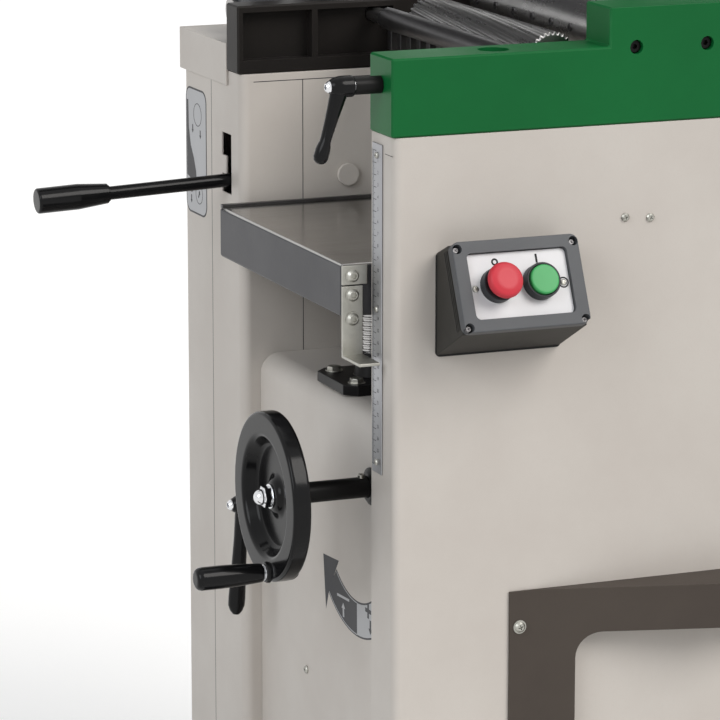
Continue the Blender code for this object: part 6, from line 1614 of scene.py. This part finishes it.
@dataclass
class Markings:
    """Printed marks on the machine's end: the curved arrow round the handwheel and the rear plate."""

    film: float = 0.00012
    arrow_y: float = -0.1285
    arrow_z: float = 0.4100
    band_inner: float = 0.0725
    band_outer: float = 0.1035
    band_start: float = 231.0
    band_split: float = 271.0
    band_end: float = 316.0
    rim: float = 0.0016
    plate_y: float = 0.217
    plate_z: float = 0.6705
    plate_wide: float = 0.0545
    plate_tall: float = 0.1150
    plate_rim: float = 0.0034
    head: tuple = ((0.0915, 213.2), (0.1202, 234.2), (0.1035, 231.8), (0.0725, 230.2), (0.0627, 229.6))

    def build(self) -> None:
        """Make the marks."""
        self._arrow()
        self._rear_plate()

    def _arrow(self) -> None:
        """A curved arrow: a dark part and its head, and a pale part with a dark rim."""
        at = end_face(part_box("cabinet")[0].x, self.arrow_y, self.arrow_z)
        film, rim = self.film, self.rim
        dark = Shape()
        dark.band(self.band_inner, self.band_outer, self.band_start, self.band_end, -film, film, at)
        dark.prism([(reach * cos(radians(turn)), reach * sin(radians(turn))) for reach, turn in self.head],
                   -film, 1.02 * film, at)
        place_piece("wheel_arrow", dark, Finish.PRINT_DARK, MACHINE)
        pale = Shape()
        top = 1.6 * film
        pale.band(self.band_inner + rim, self.band_outer - rim, self.band_split, self.band_end - 1.0,
                  -film, top, at)
        for reach in (self.band_inner + rim, self.band_outer - rim):
            pale.band(reach - rim / 4, reach + rim / 4, self.band_start + 1.0, self.band_split,
                      -film, top, at)
        pale.prism(self._bar((-0.0303, -0.0774), 2.7, 0.0278, 0.0022), -film, top, at)
        pale.prism(self._pointer((-0.0297, -0.0883), 0.0125, 94.0), -film, top, at)
        place_piece("wheel_arrow_pale", pale, Finish.PRINT_GREY, MACHINE)
        signs = Shape()
        high = 2.2 * film
        signs.prism(self._bar((0.0267, -0.0747), 0.0, 0.0130, 0.0036), -film, high, at)
        signs.prism(self._bar((0.0267, -0.0747), 90.0, 0.0130, 0.0036), -film, 1.02 * high, at)
        signs.prism(self._pointer((0.0317, -0.0881), 0.0125, 270.0), -film, high, at)
        place_piece("wheel_arrow_signs", signs, Finish.PRINT_DARK, MACHINE)

    @staticmethod
    def _bar(middle: Sequence[float], turn: float, wide: float, high: float) -> list[tuple[float, float]]:
        """A short bar, turned by an angle in degrees."""
        first = Vector((cos(radians(turn)), sin(radians(turn)))) * wide / 2
        second = first.orthogonal().normalized() * high / 2
        return [tuple(Vector(middle) + side * first + rise * second)
                for side, rise in ((-1, -1), (1, -1), (1, 1), (-1, 1))]

    @staticmethod
    def _pointer(middle: Sequence[float], length: float, way: float) -> list[tuple[float, float]]:
        """A small straight arrow with its tip the given way."""
        aim = radians(way)
        ahead, side = Vector((cos(aim), sin(aim))), Vector((-sin(aim), cos(aim)))
        parts = [(-0.5, 0.13), (-0.5, -0.13), (0.1, -0.13), (0.1, -0.32), (0.5, 0.0), (0.1, 0.32),
                 (0.1, 0.13)]
        return [tuple(Vector(middle) + ahead * length * forward + side * length * across)
                for forward, across in parts]

    def _rear_plate(self) -> None:
        """A rounded printed plate by the feed lever: two settings as plain discs and arrows."""
        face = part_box("rear_cover")[0].x
        at = end_face(face, self.plate_y, self.plate_z)
        wide, tall, edge = self.plate_wide, self.plate_tall, self.plate_rim
        rim = Shape()
        rim.slab(wide, tall, 0.011, -self.film, self.film, at)
        place_piece("rear_plate_rim", rim, Finish.PRINT_DARK, MACHINE)
        ground = Shape()
        ground.slab(wide - edge, tall - edge, 0.0094, -self.film, 1.6 * self.film, at)
        place_piece("rear_plate_field", ground, Finish.PRINT_GREY, MACHINE)
        signs = Shape()
        top = 2.3 * self.film
        wedge = [(-0.0245, -0.024), (0.0010, -0.030), (-0.0010, -0.018), (-0.0070, -0.006),
                 (-0.0145, 0.004), (-0.0195, 0.020), (-0.0205, 0.045), (-0.0245, 0.045)]
        signs.prism(wedge, -self.film, top, at)
        for x, y, radius in ((0.004, 0.034, 0.0105), (0.007, -0.038, 0.0092), (-0.0135, -0.032, 0.0068)):
            ring_at = at @ Matrix.Translation((x, y, 0))
            signs.band(radius - 0.0007, radius, 0, 360, -self.film, 1.02 * top, ring_at)
        for x, y, way in ((-0.009, 0.020, 270.0), (0.011, 0.017, 270.0), (0.007, -0.038, 60.0),
                          (-0.0135, -0.045, 270.0)):
            signs.prism(self._pointer((x, y), 0.0078, way), -self.film, 1.04 * top, at)
        place_piece("rear_plate_signs", signs, Finish.PRINT_DARK, MACHINE)


@dataclass
class SurfaceTables:
    """Surface tables swung up at the rear, with their hinge, fence and bridge guard."""

    hinge_y: float = 0.1815
    hinge_z: float = 0.802
    knob: tuple[float, float, float] = (-0.093, 0.1865, 0.9245)
    foot_z: float = 0.798

    def raised(self, x: float, y: float, z: float) -> Vector:
        """Where a point of the tables lying down is when they are swung up."""
        return Vector((x, self.hinge_y + z - self.hinge_z, self.hinge_z - (y - self.hinge_y)))

    def build(self) -> None:
        """Make the tables and all they carry."""
        for node in ("outfeed_table", "infeed_table"):
            table = dressed(node, Finish.TABLE_PAINT, 0.0008)
            face_finish(table, Finish.PLANED_IRON, (0, 1, 0))
        for node in ("hinge_bracket_left", "hinge_bracket_right", "hinge_arm_left", "hinge_arm_right"):
            dressed(node, Finish.DARK_PAINT, 0.001)
        dressed("hinge_shaft", Finish.STEEL, 0.0006)
        dressed("fence_bracket", Finish.DARK_PAINT, 0.001)
        dressed("fence_carriage", Finish.STEEL, 0.0006)
        dressed("fence", Finish.ALUMINIUM, 0.0006)
        dressed("bridge_guard", Finish.ALUMINIUM, 0.0005)
        self._bolts()
        self._knob()

    def _bolts(self) -> None:
        """Bolts through the brackets' feet."""
        spots = []
        for node in ("hinge_bracket_left", "hinge_bracket_right"):
            low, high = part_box(node)
            for x in (low.x + 0.0045, high.x - 0.0045):
                spots.append(((x, low.y + 0.010, self.foot_z), (0, 1, 0)))
        screws("hinge_bolts", Screw(Head.SOCKET, 0.0032, 0.0035), spots, MACHINE, Finish.ZINC)

    def _knob(self) -> None:
        """Lobed clamping knob on the fence's guide."""
        at = along(self.raised(*self.knob), (0, 1, 0))
        shape = Shape()

        def lobes(radius: float) -> Outline:
            """A five-lobed outline."""
            return lambda angle: radius * (1 + 0.10 * cos(5 * angle))

        levels = [(0.0000, disc(0.006)), (0.0060, disc(0.006)), (0.0065, lobes(0.0125)),
                  (0.0085, lobes(0.0150)), (0.0150, lobes(0.0150)), (0.0175, lobes(0.0120)),
                  (0.0185, lobes(0.0060))]
        shape.stack([(at @ Matrix.Translation((0, 0, height - 0.0004)), outline)
                     for height, outline in levels], 60)
        place_piece("fence_knob", shape, Finish.PHENOLIC, TABLES_BODY)


@dataclass
class Studio:
    """Plain pale floor, soft light and the photograph's camera."""

    camera_place: tuple[float, float, float] = (-1.4837, -3.2553, 1.2756)
    azimuth: float = -21.93
    elevation: float = 12.22
    lens: float = 206.3
    sensor: float = 36.0
    sky: float = 0.34
    key: float = 1.75
    key_tint: tuple[float, float, float] = (1.0, 0.965, 0.93)
    key_from: tuple[float, float, float] = (0.50, -0.78, 0.80)
    fill: float = 0.95
    fill_tint: tuple[float, float, float] = (0.93, 0.965, 1.0)
    fill_from: tuple[float, float, float] = (-0.90, -0.45, 0.55)
    soft: float = 34.0
    floor_size: float = 30.0
    floor_lift: float = 0.45

    def build(self) -> None:
        """Make the floor, the world, the lights and the camera."""
        self._world()
        self._floor()
        for name, strength, tint, way in (("key_light", self.key, self.key_tint, self.key_from),
                                          ("fill_light", self.fill, self.fill_tint, self.fill_from)):
            lamp = bpy.data.lights.new(name, "SUN")
            lamp.energy, lamp.color, lamp.angle = strength, tint, radians(self.soft)
            hung = bpy.data.objects.new(name, lamp)
            bpy.context.scene.collection.objects.link(hung)
            hung.rotation_mode = "QUATERNION"
            hung.rotation_quaternion = Vector(way).to_track_quat("Z", "Y")
        self._camera()

    def _seen(self, tree: Tree) -> Socket:
        """One for rays that show the background itself, and zero for light on the object."""
        path = tree.add("ShaderNodeLightPath").outputs
        both = tree.maths("MAXIMUM", path["Is Camera Ray"], path["Is Glossy Ray"])
        return tree.maths("MAXIMUM", both, path["Is Transmission Ray"])

    def _world(self) -> None:
        """A white backdrop that lights the object at a plain level."""
        world = bpy.data.worlds.new("studio_world")
        world.use_nodes = True
        bpy.context.scene.world = world
        tree = Tree(world.node_tree)
        world.node_tree.nodes.clear()
        light = tree.add("ShaderNodeBackground", {"Color": (1, 1, 1, 1), "Strength": self.sky})
        shown = tree.add("ShaderNodeBackground", {"Color": (1, 1, 1, 1), "Strength": 1.0})
        mixed = tree.add("ShaderNodeMixShader",
                         {0: self._seen(tree), 1: light.outputs[0], 2: shown.outputs[0]})
        tree.add("ShaderNodeOutputWorld", {"Surface": mixed.outputs[0]})

    def _floor(self) -> None:
        """A pale floor that shows white and keeps the object's shadow."""
        work = bmesh.new()
        bmesh.ops.create_grid(work, x_segments=1, y_segments=1, size=self.floor_size)
        mesh = bpy.data.meshes.new("floor")
        work.to_mesh(mesh)
        work.free()
        floor = bpy.data.objects.new("floor", mesh)
        bpy.context.scene.collection.objects.link(floor)
        skin = Skin("pale_floor")
        skin.plain(Roughness=0.9, Specular_IOR_Level=0.0)
        noise = skin.group("clouds", {"Colour": tone(228, 228, 227), "Drift": tone(225, 225, 225),
                                      "Scale": 2.0})
        skin.drive("Base Color", noise.outputs["Colour"])
        lift = skin.maths("MULTIPLY", self._seen(skin), self.floor_lift)
        glow = skin.add("ShaderNodeEmission", {"Strength": lift})
        both = skin.add("ShaderNodeAddShader", {0: skin.shader.outputs[0], 1: glow.outputs[0]})
        skin.tree.links.new(both.outputs[0], skin.tree.nodes["Material Output"].inputs["Surface"])
        mesh.materials.append(skin.material)

    def _camera(self) -> None:
        """The photograph's camera."""
        data = bpy.data.cameras.new("camera")
        data.lens, data.sensor_width = self.lens, self.sensor
        data.clip_start, data.clip_end = 0.05, 100.0
        camera = bpy.data.objects.new("camera", data)
        bpy.context.scene.collection.objects.link(camera)
        turn, rise = radians(self.azimuth), radians(self.elevation)
        back = Vector((sin(turn) * cos(rise), -cos(turn) * cos(rise), sin(rise)))
        camera.rotation_mode = "QUATERNION"
        camera.rotation_quaternion = (-back).to_track_quat("-Z", "Y")
        camera.location = self.camera_place
        bpy.context.scene.camera = camera
        bpy.context.scene.view_settings.view_transform = "Standard"


def main() -> None:
    """Build every sub-assembly in order."""
    logging.basicConfig(level=logging.INFO, format="%(message)s")
    parts = [Body(), Beams(), CutterAndDrive(), FeedRollers(), ThicknessTable(), LiftDrive(), Handwheel(),
             ClampLever("clamp_lever_left", 0.064, 17.0),
             ClampLever("clamp_lever_right", 0.064, 17.0, side=1),
             ClampLever("table_lock_lever", 0.0997, 4.0, hub_length=0.0245, cuts=LOCK_CUTS), FeedLever(),
             SwitchBox(), ThicknessScale(), LowerGuard(), Markings(), SurfaceTables(), Studio()]
    for part in parts:
        LOG.info("building %s", type(part).__name__)
        part.build()


if __name__ == "__main__":
    main()
